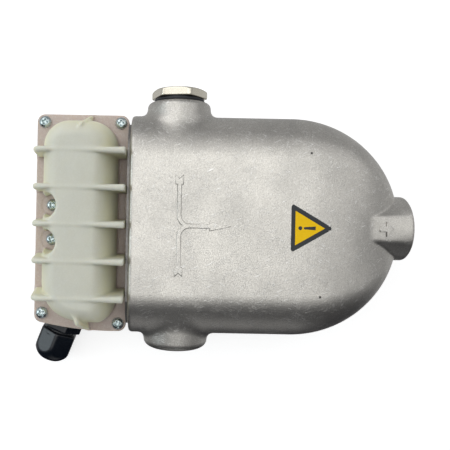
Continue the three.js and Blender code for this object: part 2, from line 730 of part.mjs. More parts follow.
function terminalBox() {
  const inset = 0.2; // the casting stands just inside its cover
  const corner = 4.5;
  const shell = slab(boxOutline(inset, inset, corner, GLAND_TILT, 0), BOX_RIM_Y, BOX_BACK_Y);
  const hollow = slab(
    boxOutline(BOX_WALL, BOX_WALL, corner - 2, GLAND_TILT, BOX_WALL), BOX_RIM_Y - CUT, BOX_BACK_Y - BOX_WALL,
  );
  const pillars = rodsAtScrews(2 * COVER_SCREW_HOLE_R, BOX_RIM_Y, BOX_BACK_Y - CUT);
  const body = join(cut(solid(shell), solid(hollow)), ...pillars).intersect(solid(shell.clone()));
  const { out, at } = glandAxis();
  const throughTop = (radius, x, y) =>
    solid(disc(radius, BOX_TOP_Z - 10, BOX_TOP_Z + CUT, 14).translate(x, y, 0));
  return cut(
    body,
    solid(along(out, disc(GLAND_THREAD_R + GAP, -8, 4, 32), at.x, at.y, at.z)),
    throughTop(PROBE_INSULATOR_R + CUT, PROBE_X, PROBE_Y),
    ...SIDES.map((side) => throughTop(BASE_SCREW_R + 2 * GAP, side * BOX_SCREW_X, BOX_SCREW_Y)),
    ...rodsAtScrews(COVER_SCREW_HOLE_R, BOX_RIM_Y - CUT, BOX_RIM_Y + 11),
  );
}

function coverGasket() {
  const width = 9;
  const high = GASKET_Y + GASKET_THICK;
  const outer = slab(boxOutline(0.4, 0.4, 4.5, COVER_TILT, GAP), GASKET_Y, high);
  const inner = slab(boxOutline(width, width, 6, COVER_TILT, width + 1), GASKET_Y - CUT, high + CUT);
  const ears = rodsAtScrews(4.6, GASKET_Y, high);
  const ring = join(cut(solid(outer), solid(inner)), ...ears).intersect(solid(outer.clone()));
  return cut(ring, ...rodsAtScrews(COVER_SCREW_HOLE_R, GASKET_Y - CUT, high + CUT));
}

// The domed part of the cover: an upright wall that rolls over into a flat crown.
function coverDome(inset, height) {
  const outline = boxOutline(
    DOME_INSET + DOME_ROUND, DOME_END_INSET + DOME_ROUND, 4, COVER_TILT, DOME_SLANT_INSET + DOME_ROUND,
  );
  const geometry = new THREE.ExtrudeGeometry(outline, {
    depth: 1,
    bevelEnabled: true,
    bevelSize: DOME_ROUND - inset,
    bevelThickness: height - 1,
    bevelSegments: 5,
    curveSegments: 3,
  });
  return geometry.rotateX(Math.PI / 2).translate(0, FLANGE_FRONT_Y, 0);
}

// A rib across the dome that widens towards the bell.
function coverRib(x) {
  const crownY = FLANGE_FRONT_Y - DOME_HEIGHT;
  const low = BOX_BOTTOM_Z + RIB_START;
  const middle = (low + BOX_TOP_Z) / 2;
  const high = BOX_TOP_Z - 0.4;
  const plan = new THREE.Shape()
    .moveTo(x - RIB_HALF[0], low)
    .lineTo(x + RIB_HALF[0], low)
    .lineTo(x + RIB_HALF[1], middle)
    .lineTo(x + RIB_HALF[2], high)
    .lineTo(x - RIB_HALF[2], high)
    .lineTo(x - RIB_HALF[1], middle)
    .closePath();
  return slab(plan, crownY, FLANGE_FRONT_Y + CUT);
}

// A curved web from the flange's end up the side of the dome.
function coverGusset(side) {
  const foot = BOX_HALF_WIDTH - 1.2;
  const tall = DOME_HEIGHT - 5.8;
  const profile = new THREE.Shape()
    .moveTo(foot, 0)
    .lineTo(foot - 0.2, 2)
    .quadraticCurveTo(foot - 8.3, 4, foot - 11.8, tall)
    .lineTo(foot - 16.3, tall + 2)
    .lineTo(foot - 16.3, 0)
    .closePath();
  const web = { depth: GUSSET_WIDE, bevelEnabled: false, curveSegments: 5 };
  const geometry = new THREE.ExtrudeGeometry(profile, web);
  geometry.translate(0, 0, -GUSSET_WIDE / 2).rotateX(Math.PI).translate(0, FLANGE_FRONT_Y + 0.5, GUSSET_Z);
  return side > 0 ? geometry : geometry.scale(-1, 1, 1);
}

function terminalCover() {
  const flangeBackY = FLANGE_FRONT_Y + FLANGE_THICK;
  const flange = slab(boxOutline(0, 0, 5, COVER_TILT, 0), FLANGE_FRONT_Y, flangeBackY);
  const ribs = [-2, -1, 0, 1, 2].map((n) => solid(coverRib(n * RIB_PITCH)));
  const inFrontOf = (y) => solid(bar(-90, 90, -60, y, BOX_BOTTOM_Z - CUT, BOX_TOP_Z + CUT));
  const dome = solid(coverDome(0, DOME_HEIGHT)).intersect(inFrontOf(FLANGE_FRONT_Y + 0.5));
  const front = FLANGE_FRONT_Y - DOME_HEIGHT - CUT;
  const pockets = SIDES.map((side) => {
    const taper = [[0, front], [POCKET_R, front], [POCKET_R - 1.7, FLANGE_FRONT_Y], [0, FLANGE_FRONT_Y]];
    const pocket = turned(taper, 28);
    return solid(along(Y_AXIS, pocket, side * POCKET_X, 0, POCKET_Z));
  });
  const pocketWalls = SIDES.map((side) =>
    solid(rodY(POCKET_R + 1.9, front - CUT, flangeBackY + CUT, side * POCKET_X, POCKET_Z, 28)),
  );
  const hollow = cut(
    solid(coverDome(COVER_WALL, DOME_HEIGHT - COVER_WALL)).intersect(inFrontOf(flangeBackY + 0.2)),
    ...pocketWalls,
  );
  const outside = join(solid(flange), dome, ...ribs, ...SIDES.map((side) => solid(coverGusset(side))));
  return cut(outside, hollow, ...pockets, ...rodsAtScrews(COVER_SCREW_HOLE_R, -10, 10));
}

// A pan-head screw with a cross recess, driven along +Y; its head's underside is at zero.
function panScrew(length) {
  const headR = 3.9;
  const headHigh = 2.7;
  const shankR = COVER_SCREW_HOLE_R - 0.4;
  const body = turned([
    [0, -headHigh],
    [headR - 2, -headHigh + 0.1],
    [headR - 0.6, -headHigh + 0.8],
    [headR, -headHigh + 2],
    [headR, 0],
    [shankR, 0],
    [shankR, length],
    [0, length],
  ], 12);
  const recess = [0, Math.PI / 2].map((turn) =>
    solid(bar(-shankR, shankR, -0.45, 0.45, -headHigh - CUT, -headHigh + 1.5).rotateZ(turn + RECESS_TURN)),
  );
  return cut(solid(body), ...recess);
}

function boxPieces() {
  add("terminal_box", terminalBox(), "casting");
  SIDES.forEach((side, i) => {
    const screw = geometryOf(capScrew(BASE_SCREW_R, 9, 4.2, 4.6));
    const seat = BOX_TOP_Z - BOX_WALL - GAP;
    add(`box_screw_${i + 1}`, screw.translate(side * BOX_SCREW_X, BOX_SCREW_Y, seat), "zinc");
  });
  add("cover_gasket", coverGasket(), "silicone");
  add("terminal_cover", terminalCover(), "nylon");
  coverScrews.forEach(([x, z], i) => {
    const screw = along(Y_AXIS, geometryOf(panScrew(13)), x, FLANGE_FRONT_Y - GAP, z);
    add(`cover_screw_${i + 1}`, screw, "zinc");
  });
}

// ---------------------------------------------------------------- cable gland

function cableGland() {
  const { out, at } = glandAxis();
  const place = (shape) => along(out, shape.isBufferGeometry ? shape : geometryOf(shape), at.x, at.y, at.z);
  const washer = tube(GLAND_THREAD_R + GAP, GLAND_HEX / 2 + 1, GAP, GLAND_BODY[0] - GAP, 28);
  add("gland_washer", place(washer), "rubber");

  const neckR = GLAND_THREAD_R - 0.7;
  const body = join(
    solid(hexPrism(GLAND_HEX, GLAND_BODY[0], GLAND_BODY[1]).rotateZ(HALF_FLAT)),
    solid(disc(GLAND_THREAD_R, -8, GLAND_BODY[0] + CUT, 28)),
    solid(disc(neckR, GLAND_BODY[1] - CUT, GLAND_NECK_TIP, 28)),
  );
  const sealR = neckR - 2.7;
  const bodyBore = solid(disc(sealR + GAP, -8 - CUT, GLAND_NECK_TIP + CUT));
  add("gland_body", place(cut(body, bodyBore)), "blackNylon");
  add("gland_seal", place(tube(sealR - 1.7, sealR, GLAND_BODY[1] + 1.4, GLAND_NUT[1] - 6.2)), "rubber");

  const [low, tip] = GLAND_NUT;
  const roundR = GLAND_NUT_HEX / 2 + 1.7;
  const dome = turned([
    [0, low],
    [roundR, low],
    [roundR, tip - 9],
    [roundR - 1.8, tip - 4.2],
    [roundR - 4.4, tip - 1.2],
    [roundR - 6.8, tip],
    [0, tip],
  ], 28);
  const nut = solid(hexPrism(GLAND_NUT_HEX, low, tip + CUT)).intersect(solid(dome));
  const bore = turned([
    [0, low - CUT],
    [neckR + GAP, low - CUT],
    [neckR + GAP, tip - 13.2],
    [sealR + 0.6, tip - 5.7],
    [sealR - 1, tip + 0.8],
    [0, tip + 0.8],
  ], 20);
  add("gland_nut", place(cut(nut, solid(bore))), "blackNylon");
}

// ---------------------------------------------------------------- electronics

// An insulated lead along a smooth route of points.
function lead(points, radius) {
  const route = new THREE.CatmullRomCurve3(points.map((point) => new THREE.Vector3(...point)));
  const section = new THREE.Shape();
  const sides = 6;
  for (let i = 0; i < sides; i += 1) {
    const angle = (i / sides) * Math.PI * 2;
    const corner = [radius * Math.cos(angle), radius * Math.sin(angle)];
    if (i === 0) section.moveTo(...corner);
    else section.lineTo(...corner);
  }
  section.closePath();
  return new THREE.ExtrudeGeometry(section, { steps: 16, extrudePath: route, bevelEnabled: false });
}

function circuitBoard() {
  const high = BOARD_FRONT_Y + BOARD_THICK;
  const board = bar(-56, 52, BOARD_FRONT_Y, high, BOARD_Z[0], BOARD_Z[1]);
  const drill = (radius, x, z) => solid(rodY(radius, BOARD_FRONT_Y - CUT, high + CUT, x, z, 14));
  const holes = boardPosts.map(([x, z]) => drill(1.6, x, z));
  const pillarRoom = SIDES.map((side) => drill(2 * COVER_SCREW_HOLE_R + 0.8, side * POCKET_X, POCKET_Z));
  return cut(solid(board), ...holes, ...pillarRoom);
}

function boardFixings() {
  boardPosts.forEach(([x, z], i) => {
    const low = BOARD_FRONT_Y + BOARD_THICK + GAP;
    add(`board_post_${i + 1}`, rodY(3, low, BOX_BACK_Y - BOX_WALL - GAP, x, z, 16), "brass");
    const screw = along(Y_AXIS, geometryOf(capScrew(1.25, 1.6, 2.6, 1.8, 12)), x, BOARD_FRONT_Y - GAP, z);
    add(`board_screw_${i + 1}`, screw, "zinc");
  });
}

// The pieces that stand on the board's front, towards the cover.
function boardPieces() {
  const back = BOARD_FRONT_Y - GAP;
  const block = bar(24, 42, back - 12, back, -213, -194);
  const wells = [26, 31, 36].map((x) => solid(bar(x, x + 3, back - 14, back - 5, -211, -206)));
  add("terminal_block", cut(solid(block), ...wells), "bluePlastic");
  const core = bar(-47, -22, back - 22, back, -216, -194);
  const window = bar(-42, -27, back - 23, back - 18, -212, -198);
  add("transformer", cut(solid(core), solid(window)), "machined");
  add("relay", bar(-4, 15, back - 15, back, -208, -193), "bluePlastic");
  const lamp = turned([[0, 0], [2.5, 0], [2.5, 7], [1.8, 9], [0, 9.6]], 16);
  add("status_lamp", along(new THREE.Vector3(0, -1, 0), lamp, 19.6, back, -188.5), "ceramic");
}

// From the probe's foot behind the board, round its right end and forward to the terminal block.
function probeLead() {
  const start = PROBE_LOW_Z - 4.6;
  add("probe_lead", lead([
    [PROBE_X, PROBE_Y, start],
    [PROBE_X, PROBE_Y + 1, start - 6.4],
    [PROBE_X + 6, PROBE_Y + 5, -206],
    [-10, 19.5, -212],
    [20, 19, -214],
    [46, 16, -205],
    [55, 8, -200],
    [54, -1, -200],
    [48, -4.5, -201],
    [42.8, -4.5, -202],
  ], 0.9), "brownVinyl");
}

// ---------------------------------------------------------------- assembly

add("bell_housing", bellHousing(), "casting");
placeSidePlug();
add("warning_label", warningLabel(), "label");
add("base_plate", basePlate(), "machined");
add("base_seal", baseSeal(), "rubber");
baseScrews();
probe();
floatMechanism();
inletPipes();
boxPieces();
cableGland();
add("circuit_board", circuitBoard(), "board");
boardFixings();
boardPieces();
probeLead();

export default trap;
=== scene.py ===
import json
import math

import bmesh
import bpy
import numpy as np
from mathutils import Matrix, Vector


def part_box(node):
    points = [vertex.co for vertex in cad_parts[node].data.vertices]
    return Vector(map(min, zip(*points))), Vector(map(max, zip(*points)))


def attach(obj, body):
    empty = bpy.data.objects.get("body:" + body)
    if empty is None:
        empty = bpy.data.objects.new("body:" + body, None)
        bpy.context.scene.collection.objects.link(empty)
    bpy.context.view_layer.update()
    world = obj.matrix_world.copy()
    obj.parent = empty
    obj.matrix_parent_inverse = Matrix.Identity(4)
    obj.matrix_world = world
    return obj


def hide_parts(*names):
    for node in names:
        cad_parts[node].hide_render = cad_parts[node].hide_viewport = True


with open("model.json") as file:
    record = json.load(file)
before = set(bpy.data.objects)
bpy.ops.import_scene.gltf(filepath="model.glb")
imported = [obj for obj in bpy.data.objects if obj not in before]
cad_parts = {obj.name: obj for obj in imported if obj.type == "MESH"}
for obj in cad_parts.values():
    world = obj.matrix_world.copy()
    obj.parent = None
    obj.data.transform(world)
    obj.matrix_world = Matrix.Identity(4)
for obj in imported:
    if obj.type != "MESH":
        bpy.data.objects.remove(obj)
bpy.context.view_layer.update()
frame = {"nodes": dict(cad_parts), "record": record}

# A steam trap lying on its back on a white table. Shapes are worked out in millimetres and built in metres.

MM = 0.001
BODY = "housing"


def mm_box(node):
    """Lowest and highest corner of a CAD node, in millimetres."""
    low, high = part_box(node)
    return np.array(low) / MM, np.array(high) / MM


# ---------------------------------------------------------------- driving dimensions, in mm

BELL_LOW, BELL_HIGH = mm_box("bell_housing")
BELL_WIDE = 69.4  # half of the bell's width
BELL_DEEP = BELL_HIGH[1]  # half of its depth
BELL_WALL = 5.0
DOME_Z = -72.5
DOME_RISE = 69.2
HOLLOW_WIDE = 60.0  # half of the hollow's width
HOLLOW_TOP_Z = -22.0
CASTING_PITS = [(41.0, -28.1, -59.7), (-44.8, -28.2, -66.3)]

PLUG_LOW, PLUG_HIGH = mm_box("side_plug")
PORT_Z = (PLUG_LOW[2] + PLUG_HIGH[2]) / 2
PORT_BORE = 12.1
PORT_DEEP = 14.0
PORT_CUT_END = 90.0  # a side bore is cut out to here, clear of the boss
PORT_NECK_BORE = 8.1  # the narrower bore from a port into the hollow
PORT_NECK_ROOT = 50.0
SIDE_BOSS_R = 20.1
SIDE_BOSS_ROOT = 39.0  # where a side boss starts, inside the bell
SIDE_BOSS_DRAFT = 0.075
OPEN_BOSS_ROUND = 4.2
PLUGGED_BOSS_ROUND = 3.0

BOSS_R = 20.5
BOSS_ROOT_Z = -60.0
BOSS_CUT_END = 20.0
BOSS_END_SHARE = 0.8  # how much of a plain cylinder the outlet boss is at its end
FACET_Y = -21.6
FACET_BEND_Z = -27.0
FACET_SLOPE = 1.3 / 28
UP_MARK_FOOT_Z = -22.0
MARK_EDGE = 0.42

LABEL_LOW, LABEL_HIGH = mm_box("warning_label")
LABEL_CORNER = 1.2
LABEL_BORDER = 2.3
SHEET_THICK = 0.25
SHEET_PROUD = 0.3
FIELD_PROUD = 0.36
SIGN_PROUD = 0.42

PLUG_HEX = 32.0
PLUG_TURN = math.radians(10)
PLUG_UNDER = 80.9  # from the trap's middle to the underside of the plug's head
PLUG_CORNER_R = 18.0
PLUG_CHAMFER = 1.6
PLUG_TIP = 69.0
PLUG_PITCH = 1.8
PLUG_RING_R = 1.8  # of the ring's own section
PLUG_RING_BULGE = 1.25

COVER_LOW, COVER_HIGH = mm_box("terminal_cover")
COVER_MID_Z = (COVER_LOW[2] + COVER_HIGH[2]) / 2
COVER_TILT = math.radians(12)
COVER_WALL = 2.5
COVER_CORNER = 5.0
FLANGE_Y = COVER_HIGH[1] - 3.0
CROWN_Y = COVER_LOW[1]
CROWN_RISE = FLANGE_Y - CROWN_Y
CROWN_SAG = 1.3  # how far the crown falls CROWN_SAG_REACH away from its ridge
CROWN_SAG_REACH = 17.0
CROWN_RIDGE_Z = COVER_MID_Z - 6.5
CROWN_ROUND = 14.0  # of the crown's corner beside the gland
DOME_ROLL = 13.0  # from the dome's foot in to its crown
DOME_MARGIN_X = 4.8  # from the flange's edge to the dome's foot
DOME_MARGIN_Z = 6.2
DOME_MARGIN_SLANT = 4.6
RIB_PITCH = 21.9
RIB_HALF = 1.25
RIB_MORE_AT_BELL = 0.85
RIB_MORE_AT_FOOT = 0.75
RIB_DRAFT = 0.012
RIB_SLIM_LONG = 8.0  # a rib stays slim from the cover's middle down to here
RIB_SWELL_LONG = 20.0  # and then swells over this length
RIB_FOOT_LEAN = 0.13
WEB_HALF = 1.3
WEB_TOP = 30.5  # above the flange
WEB_ROOT = 48.0  # a web starts here, inside the dome
WEB_LINE_Z = COVER_MID_Z + 6.0  # where a web meets the flange's edge
WEB_SLANT = 0.32
WEB_SWEEP = 9.2  # how far a web's edge comes in as it rises by WEB_SWEEP_RISE
WEB_SWEEP_RISE = 30.0
POCKET_X = 11.0
POCKET_Z = COVER_LOW[2] + 10.9
POCKET_R = 6.6
POCKET_OUTER_R = 9.2
POCKET_DRAFT = 0.045

BOX_LOW, BOX_HIGH = mm_box("terminal_box")
BOX_CUT_Z = -208.5
BOX_TILT = math.radians(21)
BOX_CORNER = 4.5
BOX_WALL = 3.5
BOX_INSET = 0.2  # from the cover's edge to the box's

SCREW_HEAD_R = 3.95
SCREW_HEAD_HIGH = 2.7
SCREW_SHANK_R = 1.65
SCREW_SHANK_LONG = 12.8
SCREW_PITCH = 0.9
SCREW_SUNK = 0.3  # the heads' undersides lie this deep in the flange

GLAND_HEX = 24.0
GLAND_CORNER_R = 13.6
GLAND_TURN = math.radians(38)
GLAND_BODY = (1.8, 6.6)  # distances along the gland's axis from the box's face
GLAND_NECK_ROOT = -8.0
GLAND_NECK_TIP = 14.5
GLAND_NECK_R = 9.4
GLAND_BORE = 6.6
GLAND_PITCH = 1.5
GLAND_NUT = (8.6, 29.2)
GLAND_NUT_HEX = 23.0
NUT_DOME_LONG = 12.0
NUT_DOME_FLAT = 3.4  # radius of the flat round the mouth
NUT_DOME_ROLL = 9.6
NUT_CORNER_R = 12.9
NUT_FOOT_R = 11.6
NUT_TURN = math.radians(58)
NUT_BORE = 9.6
NUT_MOUTH = 5.6


# ---------------------------------------------------------------- distance fields and their surfaces


def smooth_min(a, b, reach):
    """Joins two shapes with a fillet where their distances differ by less than reach."""
    blend = np.maximum(reach - np.abs(a - b), 0) / reach
    return np.minimum(a, b) - blend * blend * reach / 4


def smooth_max(a, b, reach):
    """Cuts one shape by another with a rounded edge."""
    return -smooth_min(-a, -b, reach)


def rounded_box(u, v, half_u, half_v, corner):
    """Distance to a rectangle with rounded corners, the section of a turned or extruded solid."""
    du = np.abs(u) - half_u + corner
    dv = np.abs(v) - half_v + corner
    outside = np.hypot(np.maximum(du, 0), np.maximum(dv, 0))
    return outside + np.minimum(np.maximum(du, dv), 0) - corner


def rod(radial, along, radius, low, high, corner):
    """Distance to a round bar between low and high on its axis."""
    return rounded_box(radial, along - (low + high) / 2, radius, (high - low) / 2, corner)


def hexagon(u, v, across, turn=0.0):
    """Distance to a hexagon's nearest side."""
    sides = [turn + i * math.pi / 3 for i in range(6)]
    reach = [u * math.cos(a) + v * math.sin(a) for a in sides]
    return np.maximum.reduce(np.broadcast_arrays(*reach)) - across / 2


def gradient(field, points, reach):
    """The slope of a field at each point, from its values a little ahead and behind on each axis."""
    slopes = []
    for axis in range(3):
        shift = np.zeros(3)
        shift[axis] = reach
        ahead = field(*(points + shift).T)
        behind = field(*(points - shift).T)
        slopes.append((ahead - behind) / (2 * reach))
    return np.stack(slopes, axis=1)


def surface_points(value, cells):
    """The mean place, in grid steps, where the field changes sign on the edges of each cell."""
    total = np.zeros(cells.shape)
    hits = np.zeros(len(cells))
    for axis in range(3):
        first, second = [a for a in range(3) if a != axis]
        for i in (0, 1):
            for j in (0, 1):
                start = cells.copy()
                start[:, first] += i
                start[:, second] += j
                end = start.copy()
                end[:, axis] += 1
                a = value[tuple(start.T)]
                b = value[tuple(end.T)]
                crossed = (a < 0) != (b < 0)
                share = np.where(crossed, a / np.where(crossed, a - b, 1), 0)
                place = start.astype(float)
                place[:, axis] += share
                total += place * crossed[:, None]
                hits += crossed
    return total / hits[:, None]


def surface_quads(inside, number):
    """One four-sided face round each grid edge whose ends are on both sides of the surface."""
    faces = []
    for axis in range(3):
        first, second = (axis + 1) % 3, (axis + 2) % 3
        low = np.take(inside, range(inside.shape[axis] - 1), axis)
        high = np.take(inside, range(1, inside.shape[axis]), axis)
        edges = np.argwhere(low != high)
        ring = []
        for i, j in ((0, 0), (-1, 0), (-1, -1), (0, -1)):
            cell = edges.copy()
            cell[:, first] += i
            cell[:, second] += j
            ring.append(number[tuple(cell.T)])
        ring = np.stack(ring, axis=1)
        leaving = low[tuple(edges.T)]
        ring[leaving] = ring[leaving][:, ::-1]
        faces.append(ring)
    return np.concatenate(faces)


def sculpt(name, field, low, high, step):
    """A smooth mesh of the surface where field(x, y, z) is zero, between two corners in millimetres."""
    margin = 2 * step
    axes = [np.arange(low[i] - margin, high[i] + margin + step, step) for i in range(3)]
    value = field(*np.meshgrid(*axes, indexing="ij", sparse=True))
    inside = value < 0
    count = np.zeros([n - 1 for n in inside.shape], np.int8)
    for i in (0, 1):
        for j in (0, 1):
            for k in (0, 1):
                ends = [s - 1 + o for s, o in zip(inside.shape, (i, j, k))]
                count += inside[i:ends[0], j:ends[1], k:ends[2]]
    active = (count > 0) & (count < 8)
    number = np.full(active.shape, -1)
    number[active] = np.arange(active.sum())
    points = surface_points(value, np.argwhere(active)) * step + [a[0] for a in axes]
    for _ in range(3):
        slope = gradient(field, points, step * 0.05)
        size = np.maximum((slope * slope).sum(axis=1), 0.2)
        move = field(*points.T) / size
        points -= np.clip(move[:, None] * slope, -step * 0.4, step * 0.4)
    return mesh_object(name, points * MM, surface_quads(inside, number))


# ---------------------------------------------------------------- mesh pieces


def linked(name, mesh):
    """A new object in the scene for a mesh."""
    piece = bpy.data.objects.new(name, mesh)
    bpy.context.scene.collection.objects.link(piece)
    return piece


def mesh_object(name, points, faces, smooth=True):
    mesh = bpy.data.meshes.new(name)
    mesh.from_pydata(np.asarray(points).tolist(), [], [list(map(int, f)) for f in faces])
    mesh.validate()
    mesh.polygons.foreach_set("use_smooth", [smooth] * len(mesh.polygons))
    return linked(name, mesh)


def finish_piece(piece, material, replaced=(), body=BODY):
    """Gives a piece its material and body, and hides the CAD nodes that it stands in for."""
    piece.data.materials.clear()
    piece.data.materials.append(material)
    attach(piece, body)
    if replaced:
        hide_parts(*replaced)
    return piece


def turned(name, profile, sides=96):
    """A closed turned piece about Z from a profile of [radius, height] points in millimetres."""
    angles = [2 * math.pi * i / sides for i in range(sides)]
    points = [(r * MM * math.cos(a), r * MM * math.sin(a), h * MM) for a in angles for r, h in profile]
    rows = len(profile)
    faces = []
    for i in range(sides):
        here, there = i * rows, ((i + 1) % sides) * rows
        for j in range(rows):
            k = (j + 1) % rows
            faces.append((here + j, there + j, there + k, here + k))
    return mesh_object(name, points, faces)


def place_along(piece, axis, at):
    """Turns a piece made along +Z to lie along another axis, and moves it to a place in millimetres."""
    turn = Vector((0, 0, 1)).rotation_difference(Vector(axis)).to_matrix().to_4x4()
    piece.data.transform(Matrix.Translation(Vector(at) * MM) @ turn)


# ---------------------------------------------------------------- materials


class Nodes:
    """Adds and links a material's shader nodes, with textures in object coordinates."""

    def __init__(self, name):
        self.material = bpy.data.materials.new(name)
        self.material.use_nodes = True
        self.tree = self.material.node_tree
        self.shader = self.tree.nodes["Principled BSDF"]
        self.place = self.add("ShaderNodeTexCoord").outputs["Object"]

    def add(self, kind, **settings):
        node = self.tree.nodes.new(kind)
        for key, value in settings.items():
            setattr(node, key, value)
        return node

    def link(self, source, target):
        self.tree.links.new(source, target)

    def feed(self, value, socket):
        """Gives a socket a number, a colour or another node's output."""
        if isinstance(value, (int, float)):
            socket.default_value = value
        elif isinstance(value, tuple):
            socket.default_value = (*value, 1)
        else:
            self.link(value, socket)

    def noise(self, scale, detail=3.0, rough=0.55, place=None):
        node = self.add("ShaderNodeTexNoise")
        node.inputs["Scale"].default_value = scale
        node.inputs["Detail"].default_value = detail
        node.inputs["Roughness"].default_value = rough
        self.link(place or self.place, node.inputs["Vector"])
        return node.outputs["Fac"]

    def spread(self, value, low, high, to_low=0.0, to_high=1.0):
        """Stretches the values from low to high over the range from to_low to to_high."""
        node = self.add("ShaderNodeMapRange")
        for key, number in zip(("From Min", "From Max", "To Min", "To Max"), (low, high, to_low, to_high)):
            node.inputs[key].default_value = number
        self.link(value, node.inputs["Value"])
        return node.outputs["Result"]

    def math(self, operation, a, b):
        node = self.add("ShaderNodeMath", operation=operation)
        for socket, value in zip(node.inputs, (a, b)):
            self.feed(value, socket)
        return node.outputs[0]

    def mix(self, share, a, b):
        node = self.add("ShaderNodeMix", data_type="RGBA")
        self.feed(share, node.inputs["Factor"])
        colours = [socket for socket in node.inputs if socket.type == "RGBA"]
        for value, socket in zip((a, b), colours):
            self.feed(value, socket)
        return [socket for socket in node.outputs if socket.type == "RGBA"][0]

    def streaks(self, turn, wide, long):
        """Thin marks, so wide and long in metres, that lie at one angle in the X-Z plane."""
        stretch = self.add("ShaderNodeMapping", vector_type="TEXTURE")
        stretch.inputs["Rotation"].default_value = (0, turn, 0)
        stretch.inputs["Scale"].default_value = (wide, 4 * wide, long)
        self.link(self.place, stretch.inputs["Vector"])
        blobs = self.noise(scale=1.0, detail=1.0, rough=0.5, place=stretch.outputs["Vector"])
        return self.spread(blobs, 0.64, 0.70)

    def spot(self, place, radius):
        """One inside a ball round a place in millimetres, and nought outside it."""
        reach = self.add("ShaderNodeVectorMath", operation="DISTANCE")
        reach.inputs[1].default_value = tuple(c * MM for c in place)
        self.link(self.place, reach.inputs[0])
        return self.spread(reach.outputs["Value"], radius * MM, radius * MM * 0.5)

    def bump(self, height, strength, distance, below=None):
        node = self.add("ShaderNodeBump")
        node.inputs["Strength"].default_value = strength
        node.inputs["Distance"].default_value = distance
        self.link(height, node.inputs["Height"])
        if below is not None:
            self.link(below, node.inputs["Normal"])
        return node.outputs["Normal"]

    def set(self, **values):
        """Feeds the shader's sockets by short names, and returns the material."""
        names = {"color": "Base Color", "rough": "Roughness", "metal": "Metallic", "normal": "Normal",
                 "scatter": "Subsurface Weight", "specular": "Specular IOR Level"}
        for key, value in values.items():
            self.feed(value, self.shader.inputs[names[key]])
        return self.material


def scratches(n):
    """Three sets of thin short marks at different angles, each in patches of its own."""
    marks = None
    for turn, wide, long in ((0.5, 0.00045, 0.006), (1.9, 0.0004, 0.0045), (2.7, 0.0005, 0.008)):
        patches = n.spread(n.noise(scale=60 + 30 * turn, detail=2), 0.50, 0.56)
        streak = n.math("MULTIPLY", n.streaks(turn, wide, long), patches)
        marks = streak if marks is None else n.math("MAXIMUM", marks, streak)
    return marks


def cast_aluminium():
    """A tumbled casting: salt-like grain, thin short scratches that run every way, and a few pits."""
    dull, bright = (0.545, 0.525, 0.49), (0.73, 0.70, 0.65)
    pore, pit = (0.40, 0.385, 0.36), (0.03, 0.03, 0.03)
    fleck, scratch = (0.95, 0.93, 0.90), (0.97, 0.96, 0.94)
    n = Nodes("cast_aluminium")
    cloud = n.noise(scale=34, detail=4, rough=0.6)
    grain = n.noise(scale=1500, detail=2, rough=0.75)
    salt = n.spread(n.noise(scale=2300, detail=1, rough=0.5), 0.60, 0.70)
    marks = scratches(n)
    tone = n.mix(n.spread(cloud, 0.35, 0.68), dull, bright)
    tone = n.mix(n.spread(grain, 0.38, 0.66, 0.0, 0.60), tone, pore)
    tone = n.mix(n.math("MULTIPLY", salt, 0.55), tone, fleck)
    tone = n.mix(n.math("MULTIPLY", marks, 0.6), tone, scratch)
    for place in CASTING_PITS:
        tone = n.mix(n.spot(place, radius=0.9), tone, pit)
    rough = n.spread(grain, 0.3, 0.7, 0.30, 0.45)
    normal = n.bump(grain, strength=0.22, distance=0.0004)
    normal = n.bump(marks, strength=0.3, distance=0.0002, below=normal)
    return n.set(color=tone, rough=rough, metal=0.92, normal=normal)


def metal(name, color, dark, rough):
    """A plain metal that darkens in soft clouds and fine grain."""
    n = Nodes(name)
    cloud = n.noise(scale=70)
    grain = n.noise(scale=900, detail=2, rough=0.7)
    tone = n.mix(n.spread(cloud, 0.35, 0.7, 0.0, 0.6), color, dark)
    tone = n.mix(n.spread(grain, 0.45, 0.75, 0.0, 0.25), tone, dark)
    spread = n.spread(grain, 0.3, 0.7, rough * 0.8, rough * 1.25)
    normal = n.bump(grain, strength=0.05, distance=0.0003)
    return n.set(color=tone, rough=spread, metal=0.95, normal=normal)


def plastic(name, color, shade, rough, bump=0.05):
    """A plain plastic or rubber that changes softly between two colours."""
    n = Nodes(name)
    cloud = n.noise(scale=60)
    grain = n.noise(scale=700, detail=2)
    tone = n.mix(n.spread(cloud, 0.35, 0.7), color, shade)
    spread = n.spread(grain, 0.3, 0.7, rough * 0.85, rough * 1.2)
    return n.set(color=tone, rough=spread, normal=n.bump(grain, bump, distance=0.0004))


def natural_nylon():
    """Milky nylon: pinkish where the flange lies on its gasket, cream up the dome, paler on its crown."""
    n = Nodes("natural_nylon")
    cloud = n.noise(scale=90)
    grain = n.noise(scale=1100, detail=2, rough=0.7)
    thin = n.mix(cloud, (0.52, 0.425, 0.38), (0.58, 0.485, 0.44))
    flank = n.mix(cloud, (0.70, 0.68, 0.49), (0.77, 0.76, 0.56))
    crown = n.mix(cloud, (0.64, 0.64, 0.55), (0.74, 0.74, 0.65))
    split = n.add("ShaderNodeSeparateXYZ")
    n.link(n.place, split.inputs[0])
    height = n.spread(split.outputs["Y"], FLANGE_Y * MM, CROWN_Y * MM)
    tone = n.mix(n.spread(height, 0.02, 0.14), thin, flank)
    tone = n.mix(n.spread(height, 0.70, 0.99), tone, crown)
    tone = n.mix(n.spread(grain, 0.45, 0.72, 0.0, 0.30), tone, (0.78, 0.79, 0.73))
    n.shader.inputs["Subsurface Radius"].default_value = (1.0, 0.85, 0.6)
    n.shader.inputs["Subsurface Scale"].default_value = 0.003
    rough = n.spread(grain, 0.3, 0.7, 0.42, 0.55)
    normal = n.bump(grain, strength=0.10, distance=0.0004)
    return n.set(color=tone, rough=rough, normal=normal, scatter=0.35, specular=0.4)


